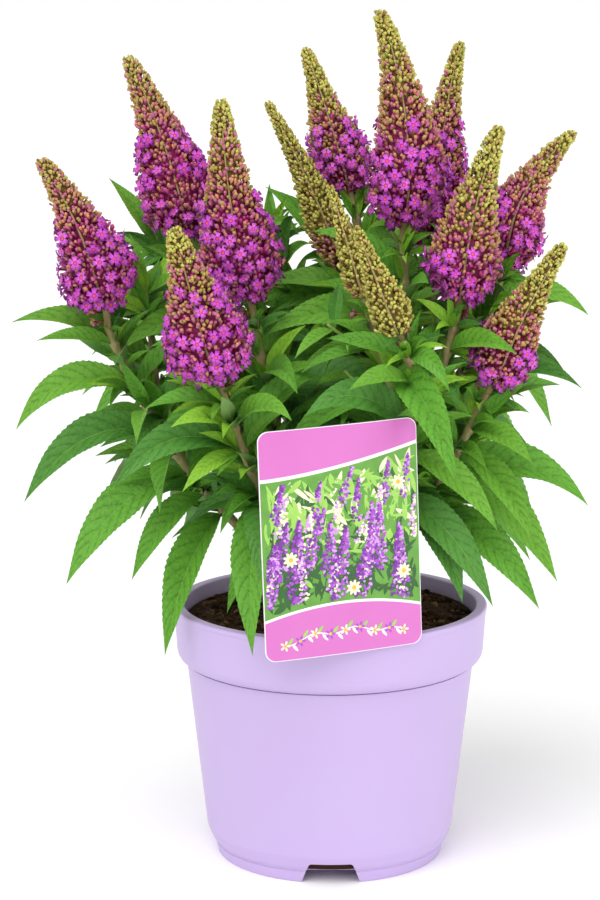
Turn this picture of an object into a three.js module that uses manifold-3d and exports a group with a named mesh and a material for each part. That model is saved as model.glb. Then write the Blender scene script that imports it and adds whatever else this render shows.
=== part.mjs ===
// A butterfly bush in flower, in a three-litre container. A low woody crown stands on the compost, eleven
// main stems spread from it, and each stem carries one leafy mass that ends in one or two long tapering
// flower heads. Millimetres, +Z up. The origin is the middle of the pot's underside, on the ground. The
// front is -Y.
import * as THREE from "three";
import { mergeVertices } from "three/addons/utils/BufferGeometryUtils.js";
import Module from "manifold-3d";

const wasm = await Module();
wasm.setup();

// ---------- driving dimensions ----------

const GAP = 0.3; // clearance between separate pieces that meet
const GRID = 1e-3; // vertices nearer than this count as one
const FULL_TURN = 2 * Math.PI;

const POT = {
  height: 155,
  rimRadius: 95, // outside of the band, at the top
  bandFootRadius: 93, // outside of the band, above its rounded lower edge
  bandDepth: 34.6, // from the rim down to the band's lower edge
  bandEdgeRadius: 9.5, // rounding of that lower edge
  rimWidth: 6.5,
  bodyTopRadius: 87,
  bodyFootRadius: 75,
  heelHeight: 17, // where the wall starts to curve in
  footRadius: 68.5,
  footHeight: 7,
  footWidth: 4,
  wall: 2,
  padRadius: 36, // flat middle of the underside
  floorLift: 5.5, // underside of the floor between pad and foot
  floor: 2,
  sides: 32,
};
const NOTCH = { count: 3, topWidth: 25.5, footWidth: 35.5, height: 13.2, depth: 14 };

const SOIL = { level: 149, edgeLevel: 146.5, flatRadius: 26 };

const CROWN = { footRadius: 21, topRadius: 17, height: 9, sides: 10 };

const LABEL = {
  width: 95,
  height: 132,
  thickness: 0.9,
  corner: 8,
  bend: 620, // radius that the card is bowed to
  place: [8, -101, 149], // middle of the lower edge
  yaw: 20, // degrees, its right side away from the front
  roll: 2.2,
  tongue: { width: 20, reach: 19, drop: 24, lean: 5 },
};

const BOUGH = { footRadius: 3.1, tipRadius: 2.8, share: 0.3, sides: 6, rings: 5 };
const SHOOT = { tipRadius: 2.2, forkTipRadius: 1.9, sides: 4, ringSpacing: 22 };
const CURVE_PULL = 0.38; // how far a stem keeps its first and last direction, as a share of its span

// Flower heads. The profile holds share of length and share of the widest radius.
const HEAD = {
  tiers: 7,
  sides: 6,
  waist: 0.76, // radius between two tiers of clusters
  groove: 0.88, // radius between two clusters of one tier
  overlap: 0.03, // share of its length by which a head reaches down over its shoot
  profile: [
    [0, 0.5],
    [0.12, 0.95],
    [0.22, 1],
    [0.45, 0.76],
    [0.7, 0.46],
    [0.92, 0.26],
    [1, 0.13],
  ],
};

// Leaves: opposite pairs, each pair a quarter turn from the last. A profile goes from the foot of the leafy
// stretch at 0 to its end at 1.
const LEAF = {
  spacing: 16,
  lengthProfile: [
    [0, 74],
    [0.35, 90],
    [0.65, 80],
    [0.88, 62],
    [1, 46],
  ],
  angleProfile: [
    [0, 80],
    [0.6, 64],
    [1, 44],
  ], // degrees from the shoot
  droopProfile: [
    [0, 2.1],
    [0.5, 1.2],
    [1, 0.5],
  ], // how strongly it bends to the ground
  widthShare: 0.28,
  thicknessShare: 0.0115,
  stations: [
    [0.33, 1],
    [0.67, 0.76],
  ], // share of length, share of the widest half-width
  smallStations: [[0.42, 1]],
  shrink: [1, 0.8, 0.62], // tried in turn where a leaf would touch a neighbour
  clearance: 0.45,
  rootDepth: 0.5, // how far behind the middle of its shoot a leaf's root lies
  rootShare: 1 / 6, // share of its length that may touch its own mass
  aimedRootShare: 1 / 2,
  light: [-0.15, -0.8, 0.6], // leaves turn their faces towards the light,
  lightTurn: 6, // this strongly
  aimedDroop: 1.4, // of an aimed leaf whose tip is level with its root
  mostDroop: 2,
  longest: 108,
  aimTries: 8,
  aimTurn: 25, // millimetres of length that a turn of one radian counts as when a leaf is chosen for a tip
};
// Twigs from the axils of every few pairs of leaves.
const TWIG = { every: 2, length: 34, leafLength: 33, footRadius: 1.3, tipRadius: 0.9, sides: 3, rings: 3 };
const LEAFY_SHOOT_SCALE = 0.62; // leaf length on a shoot that carries no head

// The stems. foot: degrees round the crown, 0 at +X, and ring. lift: first direction above the level, in
// degrees. turn: how far the leaf pairs are turned round the stem. The first shoot runs on from the stem,
// and the others fork from it at the share of its length that from gives. A shoot ends at end and points
// to tip. One with a radius carries a flower head from end to tip, with bow the sideways shift of its
// middle. tips are furthest leaf tips.
const FEET = { inner: 4.4, outer: 12 };
const STEMS = [
  {
    name: "left",
    foot: [187, "outer"],
    lift: 44,
    turn: 20,
    shoots: [
      { end: [-131, -18, 324], tip: [-168, -30, 424], radius: 23, bow: 8 },
      { end: [-110, 4, 350], tip: [-112, -2, 390], from: 0.35 },
    ],
    tips: [
      [-100, -60, 137],
      [-155, -42, 174],
      [-179, -32, 221],
      [-188, -25, 266],
      [-187, -20, 326],
      [-115, -40, 176],
    ],
  },
  {
    name: "left_back",
    foot: [146, "outer"],
    lift: 52,
    turn: 65,
    shoots: [
      { end: [-84, 45, 363], tip: [-124, 75, 479], radius: 25, bow: 4.5 },
      { end: [-72, 95, 326], tip: [-97, 120, 409], radius: 18, from: 0.25 },
      { end: [-106, 58, 372], tip: [-117, 66, 404], from: 0.55 },
    ],
    tips: [
      [-135, 60, 407],
      [-95, 75, 160],
      [-118, 55, 192],
      [-150, 75, 250],
    ],
  },
  {
    name: "left_middle",
    foot: [200, "inner"],
    lift: 70,
    turn: 10,
    shoots: [
      { end: [-45, -22, 332], tip: [-64, -10, 457], radius: 24, bow: -3.5 },
      { end: [-42, 78, 322], tip: [-56, 112, 398], radius: 17, from: 0.15 },
    ],
    tips: [
      [-62, 128, 236],
    ],
  },
  {
    name: "front_left",
    foot: [236, "outer"],
    lift: 56,
    turn: 35,
    shoots: [{ end: [-63, -72, 297], tip: [-89, -82, 389], radius: 25 }],
    tips: [
      [-125, -90, 243],
      [-53, -110, 150],
      [-44, -118, 194],
      [-21, -115, 286],
    ],
  },
  {
    name: "back",
    foot: [98, "outer"],
    lift: 68,
    turn: 50,
    shoots: [
      { end: [14, 72, 389], tip: [-15, 95, 484], radius: 19, bow: 1 },
      { end: [10, 24, 349], tip: [-38, 30, 454], radius: 16.5, bow: 3, from: 0.34 },
      { end: [-36, 66, 368], tip: [-37, 76, 410], from: 0.35 },
    ],
    tips: [
      [-17, 75, 408],
      [-38, 80, 402],
      [8, 108, 166],
      [42, 100, 188],
    ],
  },
  {
    name: "centre",
    foot: [80, "inner"],
    lift: 82,
    turn: 15,
    shoots: [{ end: [42, -8, 375], tip: [28, 0, 508], radius: 24, bow: 8.5 }],
    tips: [[65, -30, 372]],
  },
  {
    name: "back_right",
    foot: [52, "outer"],
    lift: 60,
    turn: 75,
    shoots: [
      { end: [66, 52, 360], tip: [80, 75, 488], radius: 20, bow: -5 },
      { end: [50, 102, 350], tip: [52, 134, 440], radius: 19, from: 0.2 },
    ],
    tips: [
      [78, 96, 164],
      [96, 78, 196],
      [60, 148, 262],
    ],
  },
  {
    name: "right_middle",
    foot: [320, "inner"],
    lift: 66,
    turn: 40,
    shoots: [{ end: [73, -38, 336], tip: [96, -35, 443], radius: 22, bow: -4 }],
    tips: [[78, -74, 172]],
  },
  {
    name: "right",
    foot: [8, "outer"],
    lift: 50,
    turn: 5,
    shoots: [
      { end: [105, 22, 354], tip: [147, 45, 435], radius: 21.5, bow: -11 },
      { end: [98, 78, 318], tip: [116, 108, 385], radius: 16, from: 0.2 },
    ],
    tips: [
      [151, 0, 286],
      [152, 10, 325],
      [139, -26, 302],
      [143, 40, 338],
      [122, 45, 166],
      [128, 18, 190],
      [140, 78, 248],
    ],
  },
  {
    name: "front_right",
    foot: [330, "outer"],
    lift: 46,
    turn: 25,
    shoots: [{ end: [91, -45, 290], tip: [132, -60, 378], radius: 19, bow: -4 }],
    tips: [
      [151, -40, 222],
      [116, -60, 162],
      [115, -70, 205],
      [127, -55, 177],
    ],
  },
  {
    name: "front",
    foot: [285, "outer"],
    lift: 66,
    turn: 60,
    shoots: [
      { end: [40, -72, 323], tip: [13, -85, 390], radius: 14 },
      { end: [20, -46, 340], tip: [-1, -48, 410], radius: 12, from: 0.35 },
    ],
    tips: [
      [66, -120, 250],
      [91, -80, 170],
      [-18, -112, 290],
      [64, -105, 299],
    ],
  },
];

const COLOURS = {
  pot: 0xd9c4f0,
  soil: 0x2e1c12,
  bark: 0x9a8a66,
  leaf: 0x4c8f2f,
  label: 0xee86e0,
};

// ---------- small tools ----------

const radians = THREE.MathUtils.degToRad;
const vector = (a) => new THREE.Vector3(a[0], a[1], a[2]);
const ringAngles = (n, offset = 0) =>
  Array.from({ length: n }, (_, i) => ((i + offset) / n) * FULL_TURN);

// A seeded row of numbers from 0 to 1, the same on every run.
function seededNumbers(seed) {
  let state = seed >>> 0;
  return () => {
    state = (state + 0x6d2b79f5) >>> 0;
    let t = Math.imul(state ^ (state >>> 15), 1 | state);
    t = (t + Math.imul(t ^ (t >>> 7), 61 | t)) ^ t;
    return ((t ^ (t >>> 14)) >>> 0) / 4294967296;
  };
}

// Straight-line reading of a profile of [place, value] pairs.
function readProfile(profile, place) {
  const next = profile.findIndex(([at]) => at >= place);
  if (next <= 0) return next === 0 ? profile[0][1] : profile[profile.length - 1][1];
  const [a, valueA] = profile[next - 1];
  const [b, valueB] = profile[next];
  return THREE.MathUtils.lerp(valueA, valueB, (place - a) / (b - a));
}

// A closed solid from points and triangles, turned outwards if its faces point in.
function solidFromFaces(points, faces) {
  const vertProperties = new Float32Array(points.flatMap((p) => [p.x, p.y, p.z]));
  const build = (list) => {
    const triVerts = new Uint32Array(list.flat());
    return new wasm.Manifold(new wasm.Mesh({ numProp: 3, vertProperties, triVerts }));
  };
  const made = build(faces);
  return made.volume() > 0 ? made : build(faces.map(([a, b, c]) => [a, c, b]));
}

// A three.js geometry as a solid.
function solidFromGeometry(geometry) {
  const bare = geometry.clone();
  bare.deleteAttribute("normal");
  bare.deleteAttribute("uv");
  const merged = mergeVertices(bare, 1e-4);
  return new wasm.Manifold(
    new wasm.Mesh({
      numProp: 3,
      vertProperties: new Float32Array(merged.attributes.position.array),
      triVerts: new Uint32Array(merged.index.array),
    }),
  );
}

// A solid as a named three.js mesh.
function meshFromSolid(name, solid, colour, roughness = 0.7) {
  const { numProp, numVert, vertProperties, triVerts } = solid.getMesh();
  const positions = new Float32Array(numVert * 3);
  for (let i = 0; i < numVert; i++) {
    positions.set(vertProperties.subarray(i * numProp, i * numProp + 3), i * 3);
  }
  const geometry = new THREE.BufferGeometry()
    .setAttribute("position", new THREE.BufferAttribute(positions, 3))
    .setIndex(new THREE.BufferAttribute(new Uint32Array(triVerts), 1));
  const material = new THREE.MeshStandardMaterial({ color: colour, roughness, metalness: 0 });
  const mesh = new THREE.Mesh(geometry, material);
  mesh.name = name;
  return mesh;
}

// Tells whether a solid touches itself along an edge, once vertices nearer than a step of the grid are one.
function hasPinchedEdge(solid) {
  const { numProp, vertProperties, triVerts } = solid.getMesh();
  const names = Array.from({ length: vertProperties.length / numProp }, (_, i) =>
    [0, 1, 2].map((k) => Math.round(vertProperties[i * numProp + k] / GRID)).join(),
  );
  const seen = new Set();
  for (let t = 0; t < triVerts.length; t += 3)
    for (const [i, j] of [
      [0, 1],
      [1, 2],
      [2, 0],
    ]) {
      const edge = `${names[triVerts[t + i]]}>${names[triVerts[t + j]]}`;
      if (seen.has(edge)) return true;
      seen.add(edge);
    }
  return false;
}

// The largest shell of a solid, without crumbs and without the small voids that crossing leaves close off.
const mainShell = (solid) => solid.decompose().reduce((a, b) => (a.volume() > b.volume() ? a : b));

// Shoots and heads joined with the twigs and leaves on them, one at a time. A twig or leaf that would leave
// a pinched edge is left out.
function joined(frame, grown) {
  let whole = mainShell(frame.reduce((a, b) => a.add(b)));
  for (const piece of grown) {
    const next = mainShell(whole.add(piece));
    if (!hasPinchedEdge(next)) whole = next;
  }
  return whole;
}

// Rings of equal count skinned into one closed solid, with flat ends.
function skinRings(rings) {
  const n = rings[0].length;
  const faces = [];
  for (let r = 0; r + 1 < rings.length; r++)
    for (let i = 0; i < n; i++) {
      const a = r * n + i;
      const b = r * n + ((i + 1) % n);
      faces.push([a, b, b + n], [a, b + n, a + n]);
    }
  const last = (rings.length - 1) * n;
  for (let i = 1; i + 1 < n; i++) faces.push([0, i + 1, i], [last, last + i, last + i + 1]);
  return solidFromFaces(rings.flat(), faces);
}

// Two directions across a stem: the first as near +X as it can be, the second a quarter turn on.
function acrossStem(tangent) {
  const side = new THREE.Vector3(1, 0, 0).addScaledVector(tangent, -tangent.x).normalize();
  return [side, new THREE.Vector3().crossVectors(tangent, side)];
}

function ringRound(centre, tangent, radius, angles) {
  const [side, back] = acrossStem(tangent);
  return angles.map((angle) => {
    const aside = side.clone().multiplyScalar(Math.cos(angle)).addScaledVector(back, Math.sin(angle));
    return centre.clone().addScaledVector(aside, radius);
  });
}

// A tapering limb along a stretch of a curve, from share a to share b of its length.
function limb(curve, a, b, radiusA, radiusB, rings, sides) {
  return skinRings(
    Array.from({ length: rings }, (_, i) => {
      const step = i / (rings - 1);
      const share = THREE.MathUtils.lerp(a, b, step);
      const radius = THREE.MathUtils.lerp(radiusA, radiusB, step);
      return ringRound(curve.getPointAt(share), curve.getTangentAt(share), radius, ringAngles(sides));
    }),
  );
}

function boxesMeet(a, b) {
  return [0, 1, 2].every((k) => a.min[k] <= b.max[k] && b.min[k] <= a.max[k]);
}

// ---------- the pot ----------

function potProfile() {
  const edge = POT.bandEdgeRadius;
  const bandLow = POT.height - POT.bandDepth;
  const bandEdge = [30, 60].map((degrees) => [
    POT.bandFootRadius - edge * (1 - Math.cos(radians(degrees))),
    bandLow + edge * (1 - Math.sin(radians(degrees))),
  ]);
  const innerRim = POT.rimRadius - POT.rimWidth;
  return [
    [0, 0],
    [POT.padRadius, 0],
    [POT.padRadius + 2, POT.floorLift],
    [POT.footRadius - POT.footWidth, POT.floorLift],
    [POT.footRadius - POT.footWidth, 0],
    [POT.footRadius, 0],
    [POT.footRadius + 1.6, POT.footHeight],
    [POT.footRadius + 3.8, POT.heelHeight * 0.6],
    [POT.bodyFootRadius, POT.heelHeight],
    [POT.bodyTopRadius, bandLow],
    [POT.bandFootRadius - edge * 0.5, bandLow],
    ...bandEdge.reverse(),
    [POT.bandFootRadius, bandLow + edge],
    [POT.rimRadius, POT.height - 1.5],
    [POT.rimRadius - 1.5, POT.height],
    [innerRim, POT.height],
    [innerRim - 1, POT.height - 12],
    [POT.bodyTopRadius - POT.wall, POT.height - POT.bandDepth + 4],
    [POT.bodyFootRadius - POT.wall, POT.heelHeight],
    [POT.footRadius - 1, POT.floorLift + POT.floor],
    [0, POT.floorLift + POT.floor],
  ];
}

const latheSolid = (profile) =>
  solidFromGeometry(
    new THREE.LatheGeometry(
      profile.map(([r, z]) => new THREE.Vector2(r, z)),
      POT.sides,
    ).rotateX(Math.PI / 2),
  );

// A drainage notch: a trapezium cut through the foot and the heel of the wall.
function notchCutter(angle) {
  const shape = new THREE.Shape([
    new THREE.Vector2(-NOTCH.footWidth / 2, -1),
    new THREE.Vector2(NOTCH.footWidth / 2, -1),
    new THREE.Vector2(NOTCH.topWidth / 2, NOTCH.height),
    new THREE.Vector2(-NOTCH.topWidth / 2, NOTCH.height),
  ]);
  const cutter = new THREE.ExtrudeGeometry(shape, { depth: NOTCH.depth, bevelEnabled: false });
  cutter.rotateX(Math.PI / 2).translate(0, -(POT.footRadius - 8), 0).rotateZ(angle);
  return solidFromGeometry(cutter);
}

function makePot() {
  const cutters = ringAngles(NOTCH.count).map(notchCutter);
  return cutters.reduce((pot, cutter) => pot.subtract(cutter), latheSolid(potProfile()));
}

// ---------- compost and label ----------

// The tongue of the label: from the card's back over the rim and down into the compost. grow widens it all
// round.
function tongueSolid(grow = 0) {
  const { width, reach, drop, lean } = LABEL.tongue;
  const rise = POT.height + GAP - LABEL.place[2];
  const t = LABEL.thickness + grow;
  const outline = [
    [0, rise - grow],
    [reach - t, rise - grow],
    [reach - t + lean, rise - drop - grow],
    [reach + grow + lean, rise - drop - grow],
    [reach + grow, rise + t],
    [0, rise + t],
  ];
  const shape = new THREE.Shape(outline.map(([y, z]) => new THREE.Vector2(y, z)));
  const strip = new THREE.ExtrudeGeometry(shape, { depth: width + 2 * grow, bevelEnabled: false });
  // The outline lies in Y and Z, and the strip's width runs along X.
  strip.translate(0, 0, -width / 2 - grow).rotateX(Math.PI / 2).rotateZ(Math.PI / 2);
  return solidFromGeometry(strip);
}

const labelPlace = (solid) => {
  const [x, y, z] = LABEL.place;
  return solid.rotate([0, 0, LABEL.yaw]).translate([x, y, z]);
};

function cardSolid() {
  const half = LABEL.width / 2;
  const steps = 8;
  const bow = (x) => LABEL.bend - Math.sqrt(LABEL.bend ** 2 - x ** 2);
  const xs = Array.from({ length: steps + 1 }, (_, i) => -half + (LABEL.width * i) / steps);
  const plan = new THREE.Shape([
    ...xs.map((x) => new THREE.Vector2(x, bow(x))),
    ...xs.reverse().map((x) => new THREE.Vector2(x, bow(x) + LABEL.thickness)),
  ]);
  const { height, corner } = LABEL;
  const strip = solidFromGeometry(new THREE.ExtrudeGeometry(plan, { depth: height, bevelEnabled: false }));
  const front = new THREE.Shape();
  front.moveTo(-half + corner, 0);
  front.lineTo(half - corner, 0);
  front.absarc(half - corner, corner, corner, -Math.PI / 2, 0, false);
  front.absarc(half - corner, height - corner, corner, 0, Math.PI / 2, false);
  front.absarc(-half + corner, height - corner, corner, Math.PI / 2, Math.PI, false);
  front.absarc(-half + corner, corner, corner, Math.PI, 1.5 * Math.PI, false);
  const prism = new THREE.ExtrudeGeometry(front, { depth: 40, bevelEnabled: false, curveSegments: 4 });
  const outline = solidFromGeometry(prism.rotateX(Math.PI / 2).translate(0, 20, 0));
  return strip.intersect(outline).rotate([0, -LABEL.roll, 0]);
}

// The root of the tongue is sunk half the card's thickness into the card.
const makeLabel = () => labelPlace(cardSolid().add(tongueSolid().translate([0, LABEL.thickness / 2, 0])));

function makeSoil() {
  const gap = GAP + 0.1;
  const profile = [
    [0, POT.floorLift + POT.floor + gap],
    [POT.footRadius - 1.5 - gap, POT.floorLift + POT.floor + gap],
    [POT.bodyFootRadius - POT.wall - gap, POT.heelHeight],
    [POT.bodyTopRadius - POT.wall - gap, POT.height - POT.bandDepth + 4],
    [POT.rimRadius - POT.rimWidth - 1 - gap, SOIL.edgeLevel - 3],
    [POT.rimRadius - POT.rimWidth - 2 - gap, SOIL.edgeLevel],
    [SOIL.flatRadius, SOIL.level],
    [0, SOIL.level],
  ];
  const slot = labelPlace(tongueSolid(GAP).translate([0, LABEL.thickness / 2, 0]));
  return latheSolid(profile).subtract(slot);
}

// ---------- crown and main stems ----------

const crownFoot = SOIL.level + GAP;
const crownTop = crownFoot + CROWN.height;

// A low stump that flares to the ground, with one shallow lobe for each stem of the outer ring.
function makeCrown() {
  const level = (z, radius, lobe) =>
    ringAngles(CROWN.sides).map((angle, i) => {
      const r = radius * (1 + (i % 2 ? lobe : -lobe));
      return new THREE.Vector3(r * Math.cos(angle), r * Math.sin(angle), z);
    });
  const { footRadius, topRadius, height } = CROWN;
  return skinRings([
    level(crownFoot, footRadius, 0.06),
    level(crownFoot + height * 0.35, topRadius * 1.05, 0.05),
    level(crownTop - 1.5, topRadius, 0.02),
    level(crownTop, topRadius - 1, 0.02),
  ]);
}

// The line of a shoot from its foot to its end, leaving along start and arriving in its tip's direction.
function shootCurve(foot, start, shoot) {
  const end = vector(shoot.end);
  const along = vector(shoot.tip).sub(end).normalize();
  const pull = foot.distanceTo(end) * CURVE_PULL;
  return new THREE.CubicBezierCurve3(
    foot,
    foot.clone().addScaledVector(start, pull),
    end.clone().addScaledVector(along, -pull),
    end,
  );
}

function stemCurve(stem) {
  const [degrees, ring] = stem.foot;
  const angle = radians(degrees);
  const out = new THREE.Vector3(Math.cos(angle), Math.sin(angle), 0);
  const foot = out.clone().multiplyScalar(FEET[ring]).setZ(crownTop + GAP);
  const lift = radians(stem.lift);
  const aim = vector(stem.shoots[0].end).sub(foot).setZ(0).normalize();
  const start = aim.multiplyScalar(Math.cos(lift)).setZ(Math.sin(lift));
  return shootCurve(foot, start, stem.shoots[0]);
}

// A main stem, cut level where it stands on the crown and ended square below its mass.
function makeBough(curve) {
  const { footRadius, tipRadius, share, sides, rings } = BOUGH;
  const made = Array.from({ length: rings }, (_, i) => {
    const step = i / (rings - 1);
    const at = share * step;
    const radius = THREE.MathUtils.lerp(footRadius, tipRadius, step ** 0.7);
    return ringRound(curve.getPointAt(at), curve.getTangentAt(at), radius, ringAngles(sides));
  });
  const tangent = curve.getTangentAt(0);
  made[0] = made[0].map((p) => p.clone().addScaledVector(tangent, (crownTop + GAP - p.z) / tangent.z));
  return skinRings(made);
}

// ---------- leafy masses ----------

// A head of blossom: tiers of clusters that stand out from a tapering core, each tier half a cluster round.
function makeHead({ end, tip, radius, bow = 0 }) {
  const axis = vector(tip).sub(vector(end));
  const tangent = axis.clone().normalize();
  const [side, back] = acrossStem(tangent);
  const ring = (share, scale, offset) => {
    const centre = vector(end).addScaledVector(axis, share);
    centre.x += 4 * bow * share * (1 - share);
    return ringAngles(HEAD.sides, offset).map((angle, i) => {
      const r = radius * readProfile(HEAD.profile, share) * scale * (i % 2 ? HEAD.groove : 1);
      const aside = side.clone().multiplyScalar(Math.cos(angle)).addScaledVector(back, Math.sin(angle));
      return centre.clone().addScaledVector(aside, r);
    });
  };
  const rings = [ring(-HEAD.overlap, 0.6, 0)];
  for (let tier = 0; tier < HEAD.tiers; tier++) {
    const offset = tier % 2 ? 0 : 1;
    rings.push(ring((tier + 0.5) / HEAD.tiers, 1, offset));
    if (tier + 1 < HEAD.tiers) rings.push(ring((tier + 1) / HEAD.tiers, HEAD.waist, offset));
  }
  return skinRings([...rings, ring(1, 1, 0)]);
}

// The middle line of a leaf: it leaves along direction and bends to the ground, faster towards its tip.
function leafLine({ root, direction, droop }, length) {
  const steps = 12;
  const points = [root.clone()];
  const tangents = [direction.clone()];
  for (let i = 0; i < steps; i++) {
    const fall = droop * ((i + 0.5) / steps) ** 1.3;
    const way = direction.clone().add(new THREE.Vector3(0, 0, -fall)).normalize();
    points.push(points[i].clone().addScaledVector(way, length / steps));
    tangents.push(way);
  }
  return (share) => {
    const i = Math.round(share * steps);
    return { point: points[i], tangent: tangents[i] };
  };
}

// A leaf turned so that its tip comes to a given place, with the length that this takes. The lower the
// place, the more the leaf bends.
function aimedLeaf(leaf, tip) {
  const chord = tip.clone().sub(leaf.root);
  const direction = chord.clone().normalize();
  const droop = Math.min(LEAF.aimedDroop * (1 - direction.z), LEAF.mostDroop);
  const aimed = { ...leaf, direction, droop, length: chord.length() };
  for (let round = 0; round < 20; round++) {
    const miss = tip.clone().sub(leafLine(aimed, aimed.length)(1).point);
    const reached = aimed.direction.clone().multiplyScalar(aimed.length).addScaledVector(miss, 0.6);
    aimed.length = reached.length();
    aimed.direction = reached.normalize();
  }
  return aimed;
}

// The side direction of a leaf's blade at its root, turned most of the way to where its upper face meets
// the light, and square to the leaf.
function bladeAcross({ across, direction }) {
  const lit = vector(LEAF.light).normalize().cross(direction);
  const side = across.clone().addScaledVector(lit, LEAF.lightTurn);
  return side.addScaledVector(direction, -side.dot(direction)).normalize();
}

// One leaf: a narrow blade with a flat upper face and a keel below for its midrib. For a test of its room,
// grow thickens it and from leaves out the share of it next to the root.
function makeLeaf(leaf, length, grow = 0, from = 0) {
  const line = leafLine(leaf, length);
  const side = bladeAcross(leaf);
  const keel = length * LEAF.thicknessShare + grow;
  const points = [line(from).point];
  for (const [share, width] of leaf.stations) {
    const { point, tangent } = line(share);
    const bend = new THREE.Quaternion().setFromUnitVectors(leaf.direction, tangent);
    const across = side.clone().applyQuaternion(bend);
    const up = new THREE.Vector3().crossVectors(tangent, across);
    const halfWidth = (length * LEAF.widthShare * width) / 2 + grow;
    const edge = (reach) => point.clone().addScaledVector(across, reach).addScaledVector(up, grow);
    points.push(edge(halfWidth), edge(-halfWidth), point.clone().addScaledVector(up, -keel));
  }
  points.push(line(1).point);
  const last = points.length - 1;
  const faces = [0, 1, 2].flatMap((i) => {
    const j = (i + 1) % 3;
    const bands = [];
    for (let ring = 1; ring + 3 < last; ring += 3) {
      bands.push([ring + i, ring + 3 + i, ring + 3 + j], [ring + i, ring + 3 + j, ring + j]);
    }
    return [[0, 1 + i, 1 + j], ...bands, [last, last - 3 + j, last - 3 + i]];
  });
  return solidFromFaces(points, faces);
}

// The leaves of one shoot, each with its root, direction, side direction, length and droop.
function leafPlaces(curve, from, turn, random, lengthAt, stations) {
  const count = Math.max(2, Math.round((curve.getLength() * (1 - from)) / LEAF.spacing));
  const places = [];
  for (let node = 0; node < count; node++) {
    const place = (node + 0.5) / count;
    const share = from + (1 - from) * (0.03 + 0.95 * place);
    const tangent = curve.getTangentAt(share);
    const [side, back] = acrossStem(tangent);
    for (const half of [0, 1]) {
      const round = radians(turn + node * 90 + half * 180 + (random() - 0.5) * 30);
      const angle = radians(readProfile(LEAF.angleProfile, place) + (random() - 0.5) * 16);
      const out = side.clone().multiplyScalar(Math.cos(round)).addScaledVector(back, Math.sin(round));
      const direction = tangent.clone().multiplyScalar(Math.cos(angle));
      direction.addScaledVector(out, Math.sin(angle));
      places.push({
        root: curve.getPointAt(share).addScaledVector(direction, -LEAF.rootDepth),
        direction,
        across: new THREE.Vector3().crossVectors(tangent, out),
        length: lengthAt(place) * (0.9 + 0.2 * random()),
        droop: readProfile(LEAF.droopProfile, place) * (0.85 + 0.3 * random()),
        stations,
        node,
        half,
        out,
        tangent,
      });
    }
  }
  return places;
}

// A short leafy twig from the axil of a leaf.
function planTwig({ root, tangent, out, node }, random) {
  const rise = 0.9 + 0.3 * random();
  const at = (along, aside) =>
    root
      .clone()
      .addScaledVector(tangent, TWIG.length * along * rise)
      .addScaledVector(out, TWIG.length * aside);
  const curve = new THREE.QuadraticBezierCurve3(root.clone(), at(0.22, 0.48), at(0.62, 0.75));
  const leaves = leafPlaces(curve, 0.35, 45 * node, random, () => TWIG.leafLength, LEAF.smallStations);
  return { curve, leaves };
}

// The leaves of a mass that could reach a tip, the best suited in place, direction and length first.
function leavesTowards(tip, places) {
  const misfit = (leaf) => {
    const way = tip.clone().sub(leaf.root);
    return Math.abs(way.length() - leaf.length * 0.95) + LEAF.aimTurn * way.angleTo(leaf.out);
  };
  const inOrder = places.filter((leaf) => !leaf.aimed).sort((a, b) => misfit(a) - misfit(b));
  return inOrder.slice(0, LEAF.aimTries);
}

// One mass before its leaves are grown: its shoots, flower heads, and the places of its leaves and twigs.
function planMass(stem, curve, index) {
  const random = seededNumbers(101 + index * 17);
  const start = BOUGH.share + (GAP + 0.1) / curve.getLength();
  const ringCount = (length) => Math.ceil(length / SHOOT.ringSpacing) + 1;
  const shootLimb = (line, from, radiusA, radiusB) =>
    limb(line, from, 1, radiusA, radiusB, ringCount(line.getLength()), SHOOT.sides);
  const shoots = [{ curve, from: start, scale: 1 }];
  const frame = [shootLimb(curve, start, BOUGH.tipRadius, SHOOT.tipRadius)];
  for (const shoot of stem.shoots.slice(1)) {
    const at = start + (1 - start) * shoot.from;
    const fork = curve.getPointAt(at);
    const way = curve.getTangentAt(at).add(vector(shoot.end).sub(fork).normalize()).normalize();
    const branch = shootCurve(fork, way, shoot);
    frame.push(shootLimb(branch, 0, SHOOT.tipRadius, SHOOT.forkTipRadius));
    shoots.push({ curve: branch, from: 0.15, scale: shoot.radius ? 1 : LEAFY_SHOOT_SCALE });
  }
  frame.push(...stem.shoots.filter((shoot) => shoot.radius).map(makeHead));

  const places = shoots.flatMap((shoot, i) => {
    const lengthAt = (place) => readProfile(LEAF.lengthProfile, place) * shoot.scale;
    return leafPlaces(shoot.curve, shoot.from, stem.turn + 45 * i, random, lengthAt, LEAF.stations);
  });
  for (const place of places) {
    const bearsTwig = place.node % TWIG.every === 1 && place.half === (place.node >> 1) % 2;
    if (bearsTwig) place.twig = planTwig(place, random);
  }
  return { name: stem.name, frame, places, tips: stem.tips.map(vector), grown: [] };
}

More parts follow.
